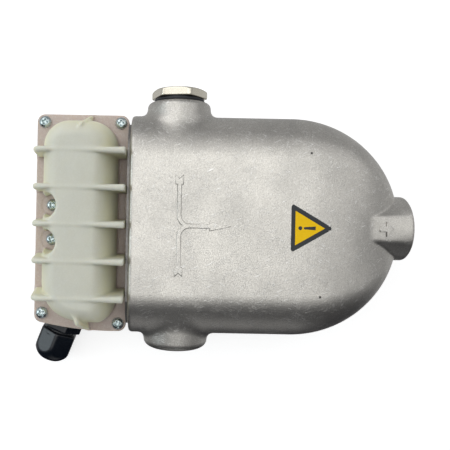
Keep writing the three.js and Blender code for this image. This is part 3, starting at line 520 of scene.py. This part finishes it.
def label_ink(name, color):
    """Printed ink that is a little worn."""
    n = Nodes(name)
    wear = n.noise(scale=500)
    worn = tuple(0.8 * c for c in color)
    tone = n.mix(n.spread(wear, 0.4, 0.8, 0.0, 0.25), color, worn)
    rough = n.spread(wear, 0.3, 0.7, 0.38, 0.5)
    normal = n.bump(wear, strength=0.04, distance=0.0002)
    return n.set(color=tone, rough=rough, normal=normal, specular=0.2)


CASTING = cast_aluminium()
NYLON = natural_nylon()
NICKEL = metal("nickel_plate", (0.80, 0.76, 0.66), (0.70, 0.65, 0.54), 0.22)
ZINC = metal("zinc_steel", (0.62, 0.70, 0.71), (0.42, 0.52, 0.54), 0.25)
STAINLESS = metal("stainless_steel", (0.72, 0.72, 0.73), (0.60, 0.60, 0.61), 0.3)
BRASS = metal("brass", (0.75, 0.57, 0.26), (0.58, 0.42, 0.18), 0.32)
# The base plate's metal is painted dark: painted shade for the narrow groove between the cover and the
# bell, where the plate shows.
BASE_PLATE_PAINTED_SHADE = metal("machined_aluminium", (0.30, 0.29, 0.28), (0.22, 0.21, 0.20), 0.5)
LAMINATED = metal("transformer_steel", (0.42, 0.42, 0.43), (0.28, 0.28, 0.29), 0.5)
RUBBER = plastic("black_rubber", (0.012, 0.013, 0.016), (0.03, 0.032, 0.036), 0.55)
BLACK = plastic("black_nylon", (0.004, 0.006, 0.010), (0.008, 0.011, 0.016), 0.20, bump=0.02)
SILICONE = plastic("silicone", (0.30, 0.12, 0.09), (0.36, 0.16, 0.12), 0.6)
CERAMIC = plastic("ceramic", (0.80, 0.78, 0.70), (0.72, 0.69, 0.60), 0.3)
BOARD = plastic("board_green", (0.03, 0.16, 0.07), (0.02, 0.11, 0.05), 0.35)
BLUE = plastic("blue_plastic", (0.03, 0.12, 0.38), (0.02, 0.09, 0.30), 0.4)
VINYL = plastic("lead_brown", (0.13, 0.06, 0.03), (0.10, 0.045, 0.02), 0.4)
YELLOW = label_ink("label_yellow", (1.0, 0.62, 0.0))
INK = label_ink("label_ink", (0.045, 0.05, 0.055))

SLOT_MATERIALS = {
    "cast_aluminium": CASTING, "natural_nylon": NYLON, "nickel_plate": NICKEL, "zinc_steel": ZINC,
    "stainless_steel": STAINLESS, "brass": BRASS, "machined_aluminium": BASE_PLATE_PAINTED_SHADE,
    "transformer_steel": LAMINATED, "black_rubber": RUBBER, "black_nylon": BLACK, "silicone": SILICONE,
    "ceramic": CERAMIC, "board_green": BOARD, "blue_plastic": BLUE, "lead_brown": VINYL,
    "label_yellow": YELLOW,
}


def dress_cad_nodes():
    """Every CAD node gets the material of its slot; the ones that are replaced are hidden later."""
    for part in frame["record"]["subparts"]:
        node = frame["nodes"][part["node"]]
        node.data.materials.clear()
        node.data.materials.append(SLOT_MATERIALS[part["material_slot"]])


# ---------------------------------------------------------------- bell housing


def bell_skin(x, y, z, wall):
    """Distance to the bell's outside, or to its inside at a wall thickness: an obround under a dome."""
    wide = BELL_WIDE - wall
    share = (BELL_DEEP - wall) / wide
    ax, ay = np.abs(x), np.abs(y)
    straight = 1 - share
    root = np.sqrt(np.maximum(ax**2 * straight**2 - (1 - 2 * share) * (ax**2 + ay**2), 0))
    round_end = (ax * straight - root) / (1 - 2 * share)
    gauge = np.where(ax * share <= ay * straight, ay / share, round_end)
    gauge = np.maximum(gauge, 1e-3)
    lean = np.clip((ax - gauge * straight) / (gauge * share), 0, 1)
    slope = straight * lean + share
    rise = np.maximum(z - DOME_Z, 0) * wide / (DOME_RISE - wall)
    total = np.hypot(gauge, rise)
    size = np.hypot(gauge / total / slope, rise / total)
    return (total - wide) / size


def side_boss(x, y, z):
    """Distance to the two port bosses, which narrow a little towards their ends."""
    reach = np.hypot(y, z - PORT_Z)
    out = np.abs(x)
    taper = (BELL_HIGH[0] - out) * SIDE_BOSS_DRAFT
    corner = np.where(x > 0, OPEN_BOSS_ROUND, PLUGGED_BOSS_ROUND)
    half = BELL_HIGH[0] - SIDE_BOSS_ROOT
    return rounded_box(reach - taper, out - SIDE_BOSS_ROOT, SIDE_BOSS_R, half, corner)


def outlet_boss(x, y, z):
    """A cylinder with two flanks at 45 degrees that meet a sloping facet, and soften towards the end."""
    boss = rod(np.hypot(x, y), z, BOSS_R, BOSS_ROOT_Z, 0, corner=1.0)
    diagonal = math.sqrt(2)
    flanks = (np.abs(x) + np.abs(y)) / diagonal - BOSS_R
    flanks = np.maximum(flanks, np.maximum(np.abs(x) - BOSS_R / diagonal, y))
    flanks = smooth_max(flanks, z, reach=1.0)
    past_bend = z - FACET_BEND_Z
    facet = FACET_Y - y + np.maximum(past_bend, 0) * FACET_SLOPE
    faceted = smooth_max(smooth_min(boss, flanks, reach=0.8), facet, reach=1.4)
    share = BOSS_END_SHARE * np.clip(past_bend / -FACET_BEND_Z, 0, 1) ** 1.5
    return faceted * (1 - share) + boss * share


def bell_field(x, y, z):
    """Distance to the whole casting: skin and bosses, less the three bores and the hollow."""
    out, port_reach = np.abs(x), np.hypot(y, z - PORT_Z)
    skin = smooth_max(bell_skin(x, y, z, 0), BELL_LOW[2] - z, reach=2.5)
    skin = smooth_min(skin, side_boss(x, y, z), reach=4.5)
    skin = smooth_min(skin, outlet_boss(x, y, z), reach=0.7)
    side_bore = rod(port_reach, out, PORT_BORE, BELL_HIGH[0] - PORT_DEEP, PORT_CUT_END, corner=0.4)
    neck = rod(port_reach, out, PORT_NECK_BORE, PORT_NECK_ROOT, PORT_CUT_END, corner=0.2)
    top_bore = rod(np.hypot(x, y), z, PORT_BORE, -PORT_DEEP, BOSS_CUT_END, corner=0.4)
    hollow = np.maximum(bell_skin(x, y, z, BELL_WALL), z - HOLLOW_TOP_Z)
    hollow = np.maximum(hollow, out - HOLLOW_WIDE)
    opened = np.minimum(np.minimum(side_bore, neck), np.minimum(top_bore, hollow))
    return smooth_max(skin, -opened, reach=0.8)


def bell_housing():
    piece = sculpt("bell_casting", bell_field, BELL_LOW, BELL_HIGH, step=0.9)
    return finish_piece(piece, CASTING, ["bell_housing"])


# ---------------------------------------------------------------- raised marks on the bell


def arc(centre, radius, start, end, count=8):
    """Points along an arc between two angles in degrees."""
    angles = np.linspace(math.radians(start), math.radians(end), count)
    return [(centre[0] + radius * math.cos(a), centre[1] + radius * math.sin(a)) for a in angles]


def mirrored(half):
    """A closed outline from its half at x > 0, listed from the top of the axis to its foot."""
    return half + [(-x, z) for x, z in reversed(half) if x > 0]


def flow_arrow_outline():
    """Two feathered tails, one from each side port, that merge into one arrow towards the outlet."""
    stroke, bend = 1.35, 5.0
    tip, head_foot, head_wide = PORT_Z + 31.5, PORT_Z + 18.2, 2.9
    tail_end, tail_long, tail_wide, tail_notch = 30.5, 5.9, 2.45, 2.1
    outer_bend = bend + 2 * stroke
    centre = (stroke + bend, PORT_Z + stroke + bend)
    root = math.sqrt(outer_bend**2 - centre[0] ** 2)
    start = math.degrees(math.atan2(-root, -centre[0]))
    tail_root = tail_end - tail_long
    half = [(0, tip), (head_wide, head_foot), (stroke, head_foot)]
    half += arc(centre, bend, 180, 270)
    half += [(tail_root, PORT_Z + stroke), (tail_root, PORT_Z + tail_wide), (tail_end, PORT_Z + tail_wide)]
    half += [(tail_end - tail_notch, PORT_Z)]
    half += [(tail_end, PORT_Z - tail_wide), (tail_root, PORT_Z - tail_wide), (tail_root, PORT_Z - stroke)]
    half += arc(centre, outer_bend, 270, 360 + start)
    half[-1] = (0, half[-1][1])
    return mirrored(half)


def up_mark_outline(foot):
    """A plain arrow towards the outlet."""
    stroke, head_wide, head_foot, tip = 1.7, 4.6, foot + 4.0, foot + 8.6
    return mirrored([(0, tip), (head_wide, head_foot), (stroke, head_foot), (stroke, foot)])


def bevelled_plate(name, outline, thick):
    """A plate in the X-Y plane with bevelled edges, centred on Z, from an outline in millimetres."""
    edge = MARK_EDGE * MM
    curve = bpy.data.curves.new(name, "CURVE")
    curve.dimensions = "2D"
    curve.fill_mode = "BOTH"
    curve.bevel_depth = edge
    curve.bevel_resolution = 2
    curve.offset = -edge
    curve.extrude = thick / 2 * MM - edge
    spline = curve.splines.new("POLY")
    spline.points.add(len(outline) - 1)
    for point, (across, along) in zip(spline.points, outline):
        point.co = (across * MM, along * MM, 0, 1)
    spline.use_cyclic_u = True
    shape = bpy.data.objects.new(name, curve)
    bpy.context.scene.collection.objects.link(shape)
    bpy.context.view_layer.update()
    mesh = bpy.data.meshes.new_from_object(shape.evaluated_get(bpy.context.evaluated_depsgraph_get()))
    bpy.data.objects.remove(shape)
    return mesh


def relief(name, outline, front, proud, sink, lean=0.0):
    """A raised mark, proud of the front and sunk behind it, that leans about its outline's first point."""
    mesh = bevelled_plate(name, outline, proud + sink)
    mesh.transform(Matrix.Rotation(math.pi / 2, 4, "X"))
    mesh.transform(Matrix.Translation((0, (front - (proud - sink) / 2) * MM, 0)))
    tip = Vector((0, front * MM, outline[0][1] * MM))
    mesh.transform(Matrix.Translation(tip) @ Matrix.Rotation(-lean, 4, "X") @ Matrix.Translation(-tip))
    return finish_piece(linked(name, mesh), CASTING)


def raised_marks():
    relief("flow_arrow", flow_arrow_outline(), -BELL_DEEP, proud=0.85, sink=0.7)
    mark = up_mark_outline(UP_MARK_FOOT_Z)
    front = FACET_Y + (mark[0][1] - FACET_BEND_Z) * FACET_SLOPE
    relief("up_mark", mark, front, proud=0.8, sink=0.9, lean=math.atan(FACET_SLOPE))


# ---------------------------------------------------------------- warning label


def bell_front(z):
    """The Y of the bell's front at a height, on its middle line."""
    share = np.clip((z - DOME_Z) / DOME_RISE, 0, 0.99)
    return -BELL_DEEP * math.sqrt(1 - share * share)


def sheet(name, rows, material, proud, replaced=()):
    """A thin sheet on the bell's front. Its rows, from the bottom up, are a height and half the width."""
    bm = bmesh.new()
    last = None
    for z, half in rows:
        y = bell_front(z) - proud
        row = [bm.verts.new((x * MM, y * MM, z * MM)) for x in (-half, half)]
        if last:
            bm.faces.new((last[0], last[1], row[1], row[0]))
        last = row
    made = bmesh.ops.extrude_face_region(bm, geom=bm.faces[:])
    back = [v for v in made["geom"] if isinstance(v, bmesh.types.BMVert)]
    bmesh.ops.translate(bm, verts=back, vec=(0, SHEET_THICK * MM, 0))
    bmesh.ops.recalc_face_normals(bm, faces=bm.faces)
    mesh = bpy.data.meshes.new(name)
    bm.to_mesh(mesh)
    bm.free()
    return finish_piece(linked(name, mesh), material, replaced)


def triangle_half(z, foot, top, corner, lean=math.radians(30)):
    """Half the width at a height of an upright triangle with rounded corners, whose sides lean inwards."""
    tip = top - corner
    if z > tip - corner * math.sin(lean):
        return math.sqrt(max(corner**2 - (z - tip) ** 2, 0))
    half = (top + corner - z) * math.tan(lean)
    if z < foot + corner:
        inner = (top - foot) * math.tan(lean) - corner / math.cos(lean)
        half = min(half, inner + math.sqrt(max(corner**2 - (foot + corner - z) ** 2, 0)))
    return half


def warning_label():
    """A bordered triangle with a plain exclamation mark: a bar that widens upwards over a dot."""
    foot, top = LABEL_LOW[2], LABEL_HIGH[2]
    outer = [(z, triangle_half(z, foot, top, LABEL_CORNER)) for z in np.linspace(foot, top, 61)]
    sheet("label_sheet", outer, INK, SHEET_PROUD, ["warning_label"])
    low, high = foot + LABEL_BORDER, top - 2 * LABEL_BORDER + 0.4
    side_slope = math.tan(math.radians(30))
    inner = [(z, max((high - z) * side_slope, 0)) for z in np.linspace(low, high, 41)]
    sheet("label_field", inner, YELLOW, FIELD_PROUD)
    bar_low, bar_long, bar_half, bar_more = low + 5.2, 7.0, 0.65, 0.45
    rises = np.linspace(0, bar_long, 12)
    bar = [(bar_low + rise, bar_half + bar_more * rise / bar_long) for rise in rises]
    sheet("label_bar", bar, INK, SIGN_PROUD)
    dot_z, dot_r, pole = low + 3.0, 1.15, 0.02
    angles = np.linspace(pole, math.pi - pole, 17)
    dot = [(dot_z - dot_r * math.cos(a), dot_r * math.sin(a)) for a in angles]
    sheet("label_dot", dot, INK, SIGN_PROUD)


# ---------------------------------------------------------------- side plug


def side_plug_field(x, y, z):
    """A hexagon head with a chamfer round its face, on a grooved shank."""
    out, across = -x, z - PORT_Z
    reach = np.hypot(y, across)
    face = -PLUG_LOW[0]
    middle, half = (PLUG_UNDER + face) / 2, (face - PLUG_UNDER) / 2
    head = smooth_max(hexagon(y, across, PLUG_HEX, PLUG_TURN), np.abs(out - middle) - half, reach=0.7)
    chamfer = reach - (PLUG_CORNER_R + 0.9 - (out - face + PLUG_CHAMFER) * 1.9)
    head = smooth_max(head, chamfer, reach=0.8)
    head = smooth_max(head, reach - PLUG_CORNER_R, reach=0.6)
    groove = np.abs(np.mod(out, PLUG_PITCH) - PLUG_PITCH / 2) * 0.5
    shank = rod(reach + groove, out, PORT_BORE - 0.1, PLUG_TIP, PLUG_UNDER + 1, corner=0.3)
    return np.minimum(head, shank)


def plug_ring():
    """The O-ring, a little wider than its CAD solid where the head squeezes it."""
    low, high = mm_box("side_plug_seal")
    half = (high[0] - low[0]) / 2
    middle_r = high[1] - PLUG_RING_R
    steps = [2 * math.pi * i / 16 for i in range(16)]
    profile = [(middle_r + PLUG_RING_R * math.cos(a), half * PLUG_RING_BULGE * math.sin(a)) for a in steps]
    ring = turned("plug_ring", profile)
    place_along(ring, (-1, 0, 0), ((low[0] + high[0]) / 2, 0, PORT_Z))
    finish_piece(ring, RUBBER, ["side_plug_seal"])


def side_plug():
    piece = sculpt("plug_head", side_plug_field, PLUG_LOW, PLUG_HIGH, step=0.42)
    finish_piece(piece, NICKEL, ["side_plug"])
    plug_ring()


# ---------------------------------------------------------------- terminal box and cover


def slant_side(x, z, tilt):
    """Distance past the slanted side that cuts off the lower right corner of the box and its cover."""
    return (x - COVER_HIGH[0]) * math.cos(tilt) - (z - BOX_CUT_Z) * math.sin(tilt)


def plate_outline(x, z, tilt, corner, grow=0.0):
    """Distance to the outline of the box or its cover, grown by so much all round."""
    half_x = COVER_HIGH[0] + grow
    half_z = (COVER_HIGH[2] - COVER_LOW[2]) / 2 + grow
    plate = rounded_box(x, z - COVER_MID_Z, half_x, half_z, corner)
    return smooth_max(plate, slant_side(x, z, tilt) - grow, reach=corner * 0.9)


def dome_edge(x, z):
    """How far a place lies outside the dome's crown, seen from the front, and nought on the crown."""
    half_x = COVER_HIGH[0] - DOME_MARGIN_X - DOME_ROLL
    half_z = (COVER_HIGH[2] - COVER_LOW[2]) / 2 - DOME_MARGIN_Z - DOME_ROLL
    edge = rounded_box(x, z - COVER_MID_Z, half_x, half_z, corner=4.5)
    slant = slant_side(x, z, COVER_TILT) + DOME_MARGIN_SLANT + DOME_ROLL
    centre_x, centre_z = half_x - 2 - CROWN_ROUND, COVER_MID_Z - half_z + CROWN_ROUND
    corner = np.hypot(np.maximum(x - centre_x, 0), np.maximum(centre_z - z, 0)) - CROWN_ROUND
    return np.maximum(smooth_max(np.maximum(edge, corner), slant, reach=8.0), 0)


def dome_height(x, y, z, thick):
    """Distance to the cover's dome: a crown with a slight sag that rolls down to the flange all round."""
    edge = dome_edge(x, z)
    roll, deep = DOME_ROLL - thick, CROWN_RISE - thick
    sag = CROWN_SAG * ((z - CROWN_RIDGE_Z) / CROWN_SAG_REACH) ** 2
    up = FLANGE_Y - y + sag
    gauge = np.sqrt((edge / roll) ** 2 + (up / deep) ** 2) + 1e-6
    slope = np.hypot(edge / roll**2, up / deep**2) / gauge
    return (gauge - 1) / np.maximum(slope, 1e-3)


def rib(x, y, z, at):
    """A rib across the dome: level with the crown, square at the bell and rounded at its foot."""
    up = FLANGE_Y - y
    towards_bell = np.clip((z - COVER_MID_Z) / (COVER_HIGH[2] - COVER_MID_Z), 0, 1)
    towards_foot = np.clip((COVER_MID_Z - RIB_SLIM_LONG - z) / RIB_SWELL_LONG, 0, 1)
    wider = RIB_MORE_AT_BELL * towards_bell + RIB_MORE_AT_FOOT * towards_foot
    half = RIB_HALF + wider + (CROWN_RISE - up) * RIB_DRAFT
    foot = COVER_LOW[2] + 0.6 + up * RIB_FOOT_LEAN
    ends = smooth_max(foot - z, up - CROWN_RISE + 0.1, reach=7.0)
    body = smooth_max(np.abs(x - at) - half, ends, reach=2.2)
    body = smooth_max(body, z - (COVER_HIGH[2] - 0.3), reach=0.8)
    return np.maximum(body, -up)


def gusset(x, y, z, end):
    """A thin curved web from the flange up the end of the dome."""
    up = FLANGE_Y - y
    reach = x * end
    line = WEB_LINE_Z - (COVER_HIGH[0] - reach) * WEB_SLANT
    sweep = WEB_SWEEP * (np.maximum(up, 0) / WEB_SWEEP_RISE) ** 1.15
    outer = reach - (COVER_HIGH[0] - 0.6) + sweep
    body = smooth_max(np.abs(z - line) - WEB_HALF, outer, reach=1.6)
    body = smooth_max(body, up - WEB_TOP, reach=2.0)
    return np.maximum(np.maximum(body, -up), WEB_ROOT - reach)


def cover_field(x, y, z):
    """Distance to the hollow cover: dome, ribs, end webs and flange, less its two screw pockets."""
    up = FLANGE_Y - y
    half = (COVER_HIGH[1] - FLANGE_Y) / 2
    outline = plate_outline(x, z, COVER_TILT, COVER_CORNER)
    flange = smooth_max(outline, np.abs(y - (COVER_HIGH[1] + FLANGE_Y) / 2) - half, reach=0.8)
    shell = np.maximum(dome_height(x, y, z, 0.0), y - FLANGE_Y - 1)
    for n in range(-2, 3):
        shell = smooth_min(shell, rib(x, y, z, n * RIB_PITCH), reach=1.2)
    for end in (-1, 1):
        shell = smooth_min(shell, gusset(x, y, z, end), reach=1.5)
    shell = smooth_min(shell, flange, reach=1.6)
    hollow = np.maximum(dome_height(x, y, z, COVER_WALL), y - COVER_HIGH[1] - 1)
    for side in (-1, 1):
        reach = np.hypot(x - side * POCKET_X, z - POCKET_Z)
        pocket = np.maximum(reach - POCKET_R - up * POCKET_DRAFT, -up)
        hollow = np.maximum(hollow, POCKET_OUTER_R - reach)
        shell = smooth_max(shell, -pocket, reach=1.6)
    return smooth_max(shell, -hollow, reach=0.5)


def terminal_cover():
    piece = sculpt("terminal_cover_moulding", cover_field, COVER_LOW, COVER_HIGH, step=0.6)
    return finish_piece(piece, NYLON, ["terminal_cover"])


def box_field(x, y, z):
    """A tray that is open at the front, with the gland's hole through its slanted side."""
    middle, half = (BOX_LOW[1] + BOX_HIGH[1]) / 2, (BOX_HIGH[1] - BOX_LOW[1]) / 2
    outline = plate_outline(x, z, BOX_TILT, BOX_CORNER, -BOX_INSET)
    body = smooth_max(outline, np.abs(y - middle) - half, reach=2.0)
    inner = plate_outline(x, z, BOX_TILT, BOX_CORNER - 1.5, -BOX_INSET - BOX_WALL)
    hollow = smooth_max(inner, y - (BOX_HIGH[1] - BOX_WALL), reach=2.0)
    out, at = gland_axis()
    px, py, pz = x - at[0], y - at[1], z - at[2]
    along = px * out[0] + pz * out[2]
    across = np.hypot(px * out[2] - pz * out[0], py)
    hole = np.maximum(across - 10, np.abs(along) - 9)
    return smooth_max(np.maximum(body, -hollow), -hole, reach=0.5)


def terminal_box():
    piece = sculpt("terminal_box_casting", box_field, BOX_LOW, BOX_HIGH, step=0.8)
    return finish_piece(piece, CASTING, ["terminal_box"])


# ---------------------------------------------------------------- screws


def cross_recess(x, y, z):
    """Distance to a screw's cross-shaped recess, which narrows as it goes down into the head."""
    depth = np.maximum(-z, 0)
    arm = 0.28 + depth * 0.12
    reach = 0.8 + depth * 0.55
    upright = np.maximum(np.abs(x) - arm, np.abs(y) - reach)
    level = np.maximum(np.abs(y) - arm, np.abs(x) - reach)
    middle = np.hypot(x, y) - 0.55 - depth * 0.12
    recess = smooth_min(np.minimum(upright, level), middle, reach=0.3)
    return np.maximum(recess, z + 0.9)


def pan_screw_field(x, y, z):
    """A pan-head screw along Z with its head's underside at zero and its head on -Z."""
    radial = np.hypot(x, y)
    ball = np.sqrt(radial**2 + ((z - 1.2) * 1.05) ** 2) - 4.35
    head = smooth_max(np.maximum(ball, z), radial - SCREW_HEAD_R, reach=0.5)
    head = smooth_max(head, -z - SCREW_HEAD_HIGH, reach=0.8)
    head = smooth_max(head, -cross_recess(x, y, z), reach=0.15)
    turn = np.arctan2(y, x) / (2 * math.pi)
    thread = np.abs(np.mod(z / SCREW_PITCH - turn, 1) - 0.5) * 0.5
    half = SCREW_SHANK_LONG / 2
    shank = np.maximum(radial - SCREW_SHANK_R - thread, np.abs(z - half) - half)
    return np.minimum(head, shank)


def cover_screws():
    """Copies of one screw, each turned differently, with their heads on the flange and in the pockets."""
    half = SCREW_HEAD_R + 0.05
    low, high = (-half, -half, -SCREW_HEAD_HIGH), (half, half, SCREW_SHANK_LONG)
    pattern = sculpt("cover_screw_pattern", pan_screw_field, low, high, step=0.2)
    lie = Vector((0, 0, 1)).rotation_difference(Vector((0, 1, 0))).to_matrix().to_4x4()
    for i in range(1, 7):
        low, high = mm_box(f"cover_screw_{i}")
        seat = Vector(((low[0] + high[0]) / 2, FLANGE_Y - SCREW_SUNK, (low[2] + high[2]) / 2)) * MM
        mesh = pattern.data.copy()
        mesh.transform(Matrix.Translation(seat) @ lie @ Matrix.Rotation(0.5 + 1.3 * i, 4, "Z"))
        piece = linked(f"cover_screw_head_{i}", mesh)
        finish_piece(piece, ZINC, [f"cover_screw_{i}"])
    bpy.data.objects.remove(pattern)


# ---------------------------------------------------------------- cable gland


def gland_axis():
    """The gland's direction, and the point where its axis meets the slanted side of the box."""
    low, high = mm_box("gland_washer")
    out = np.array((math.cos(BOX_TILT), 0, -math.sin(BOX_TILT)))
    return out, (low + high) / 2 - GLAND_BODY[0] / 2 * out


def gland_nut_field(x, y, z):
    """A hexagon nut with a domed end, a round foot and a mouth that narrows."""
    low, tip = GLAND_NUT
    radial = np.hypot(x, y)
    flats = smooth_max(hexagon(x, y, GLAND_NUT_HEX, NUT_TURN), radial - NUT_CORNER_R, reach=0.4)
    over = np.maximum(z - tip + NUT_DOME_LONG, 0) / NUT_DOME_LONG
    dome = (np.hypot(np.maximum(radial - NUT_DOME_FLAT, 0) / NUT_DOME_ROLL, over) - 1) * NUT_DOME_ROLL
    body = smooth_max(flats, dome, reach=0.6)
    body = smooth_max(body, low - z, reach=0.8)
    foot = rod(radial, z, NUT_FOOT_R, low, low + 2.8, corner=0.7)
    body = smooth_min(body, foot, reach=0.4)
    narrow = tip - 13.2
    mouth = np.maximum(NUT_BORE - (z - narrow) * 0.55, NUT_MOUTH)
    bore = radial - np.where(z < narrow, NUT_BORE, mouth)
    return smooth_max(body, -bore, reach=0.6)


def gland_body_field(x, y, z):
    """A hexagon with a threaded neck on both sides of it."""
    low, high = GLAND_BODY
    radial = np.hypot(x, y)
    middle, half = (low + high) / 2, (high - low) / 2
    flats = smooth_max(hexagon(x, y, GLAND_HEX, GLAND_TURN), np.abs(z - middle) - half, reach=0.5)
    flats = smooth_max(flats, radial - GLAND_CORNER_R, reach=0.4)
    turn = np.arctan2(y, x) / (2 * math.pi)
    thread = np.abs(np.mod(z / GLAND_PITCH - turn, 1) - 0.5) * 0.9
    neck = rod(radial, z, GLAND_NECK_R, GLAND_NECK_ROOT, GLAND_NECK_TIP, corner=0.5) - thread + 0.45
    return smooth_max(smooth_min(flats, neck, reach=0.4), GLAND_BORE - radial, reach=0.3)


def gland_piece(name, field, low, high, replaced):
    """One piece of the gland, sculpted between two heights on its own axis and then put in place."""
    half = GLAND_HEX / 2 + 2
    piece = sculpt(name, field, (-half, -half, low), (half, half, high), step=0.4)
    place_along(piece, *gland_axis())
    finish_piece(piece, BLACK, [replaced])


def cable_gland():
    gland_piece("gland_cap", gland_nut_field, *GLAND_NUT, "gland_nut")
    gland_piece("gland_barrel", gland_body_field, GLAND_NECK_ROOT - 0.5, GLAND_NECK_TIP, "gland_body")


# ---------------------------------------------------------------- table, light and camera

TABLE_HALF = 1.6  # metres
TABLE_GLOW = 0.72
TABLE_GAP = 0.3
WORLD_STRENGTH = 1.45
OVERHEAD_LIGHT = ((0.0, 0.40), (0.12, 0.22), (0.63, 0.34), (0.88, 0.62), (0.98, 1.30))
ACROSS_LIGHT = (
    (0.0, 0.60), (0.30, 0.78), (0.44, 1.0), (0.55, 1.0), (0.67, 0.56), (0.755, 0.02), (0.94, 0.01),
    (0.995, 0.60),
)
LIGHT_TARGET = (0, 0, -0.12)
CAMERA_PLACE = (-9.75, -338, -157.3)
CAMERA_ROLL = math.radians(-1.1)
CAMERA_SENSOR = 36.0
CAMERA_LENS = 41.6
CAMERA_SHIFT = (0.14889, -0.03556)


def table_material():
    """White, lit from within, and clear from behind."""
    n = Nodes("table_white")
    tone = n.mix(n.noise(scale=3, detail=2), (0.50, 0.50, 0.505), (0.52, 0.52, 0.52))
    n.set(color=tone, rough=0.7, specular=0.1)
    glow = n.add("ShaderNodeEmission")
    glow.inputs["Color"].default_value = (1, 1, 1, 1)
    glow.inputs["Strength"].default_value = TABLE_GLOW
    lit = n.add("ShaderNodeAddShader")
    n.link(n.shader.outputs[0], lit.inputs[0])
    n.link(glow.outputs[0], lit.inputs[1])
    clear = n.add("ShaderNodeBsdfTransparent")
    side = n.add("ShaderNodeMixShader")
    n.link(n.add("ShaderNodeNewGeometry").outputs["Backfacing"], side.inputs[0])
    n.link(lit.outputs[0], side.inputs[1])
    n.link(clear.outputs[0], side.inputs[2])
    n.link(side.outputs[0], n.tree.nodes["Material Output"].inputs["Surface"])
    return n.material


def white_table():
    """A white table under the trap's back, which can't be seen from below or in reflections."""
    half = TABLE_HALF
    level = (max(BELL_HIGH[1], BOX_HIGH[1], mm_box("gland_nut")[1][1]) + TABLE_GAP) * MM
    corners = [(-half, level, -half), (half, level, -half), (half, level, half), (-half, level, half)]
    table = mesh_object("table", corners, [(0, 1, 2, 3)], smooth=False)
    table.data.materials.append(table_material())
    table.visible_glossy = False


def ramp(tree, source, stops):
    """A nearly neutral light from stops of a position and a brightness."""
    node = tree.nodes.new("ShaderNodeValToRGB")
    elements = node.color_ramp.elements
    while len(elements) < len(stops):
        elements.new(0.5)
    for element, (position, grey) in zip(elements, stops):
        element.position = position
        element.color = (grey * 0.995, grey, grey * 0.985 + 0.01, 1)
    tree.links.new(source, node.inputs[0])
    return node.outputs["Color"]


def scaled(tree, source, times, plus):
    """times * source + plus."""
    node = tree.nodes.new("ShaderNodeMath")
    node.operation = "MULTIPLY_ADD"
    node.inputs[1].default_value = times
    node.inputs[2].default_value = plus
    tree.links.new(source, node.inputs[0])
    return node.outputs[0]


def studio_world():
    """A big soft light over the front, dimmer towards every side and dark towards +X."""
    world = bpy.data.worlds.new("studio")
    bpy.context.scene.world = world
    world.use_nodes = True
    tree = world.node_tree
    split = tree.nodes.new("ShaderNodeSeparateXYZ")
    tree.links.new(tree.nodes.new("ShaderNodeTexCoord").outputs["Generated"], split.inputs[0])
    both = tree.nodes.new("ShaderNodeMix")
    both.data_type = "RGBA"
    both.blend_type = "MULTIPLY"
    both.inputs["Factor"].default_value = 1
    over, beside = [socket for socket in both.inputs if socket.type == "RGBA"]
    tree.links.new(ramp(tree, scaled(tree, split.outputs["Y"], -1, 0), OVERHEAD_LIGHT), over)
    tree.links.new(ramp(tree, scaled(tree, split.outputs["X"], 0.5, 0.5), ACROSS_LIGHT), beside)
    shade = [socket for socket in both.outputs if socket.type == "RGBA"][0]
    sky = tree.nodes["Background"]
    tree.links.new(shade, sky.inputs["Color"])
    sky.inputs["Strength"].default_value = WORLD_STRENGTH


def softbox(name, at, side, power, color=(1, 1, 1)):
    """A square soft light of so many watts, aimed at the trap."""
    light = bpy.data.lights.new(name, "AREA")
    light.shape = "SQUARE"
    light.size = side
    light.energy = power
    light.color = color
    lamp = bpy.data.objects.new(name, light)
    lamp.location = at
    lamp.rotation_euler = (Vector(LIGHT_TARGET) - Vector(at)).to_track_quat("-Z", "Y").to_euler()
    bpy.context.scene.collection.objects.link(lamp)


def studio():
    white_table()
    studio_world()
    softbox("key", (-0.75, -0.75, -0.65), side=0.9, power=3)
    softbox("fill", (-0.55, -0.7, 0.55), side=0.8, power=1)
    softbox("end", (0.0, -0.5, -1.1), side=0.5, power=1.8, color=(0.82, 0.95, 1.0))
    bpy.context.scene.view_settings.view_transform = "Standard"


def camera():
    """Looks along +Y at the front, with the outlet on the right of the picture."""
    data = bpy.data.cameras.new("camera")
    data.sensor_width = CAMERA_SENSOR
    data.lens = CAMERA_LENS
    data.shift_x, data.shift_y = CAMERA_SHIFT
    data.clip_start = 0.01
    eye = bpy.data.objects.new("camera", data)
    bpy.context.scene.collection.objects.link(eye)
    bpy.context.scene.camera = eye
    right, up = Vector((0, 0, 1)), Vector((-1, 0, 0))
    level = Matrix((right, up, right.cross(up))).transposed().to_4x4()
    roll = Matrix.Rotation(-CAMERA_ROLL, 4, "Z")
    eye.matrix_world = Matrix.Translation(Vector(CAMERA_PLACE) * MM) @ level @ roll


dress_cad_nodes()
bell_housing()
raised_marks()
warning_label()
side_plug()
terminal_cover()
terminal_box()
cover_screws()
cable_gland()
studio()
camera()
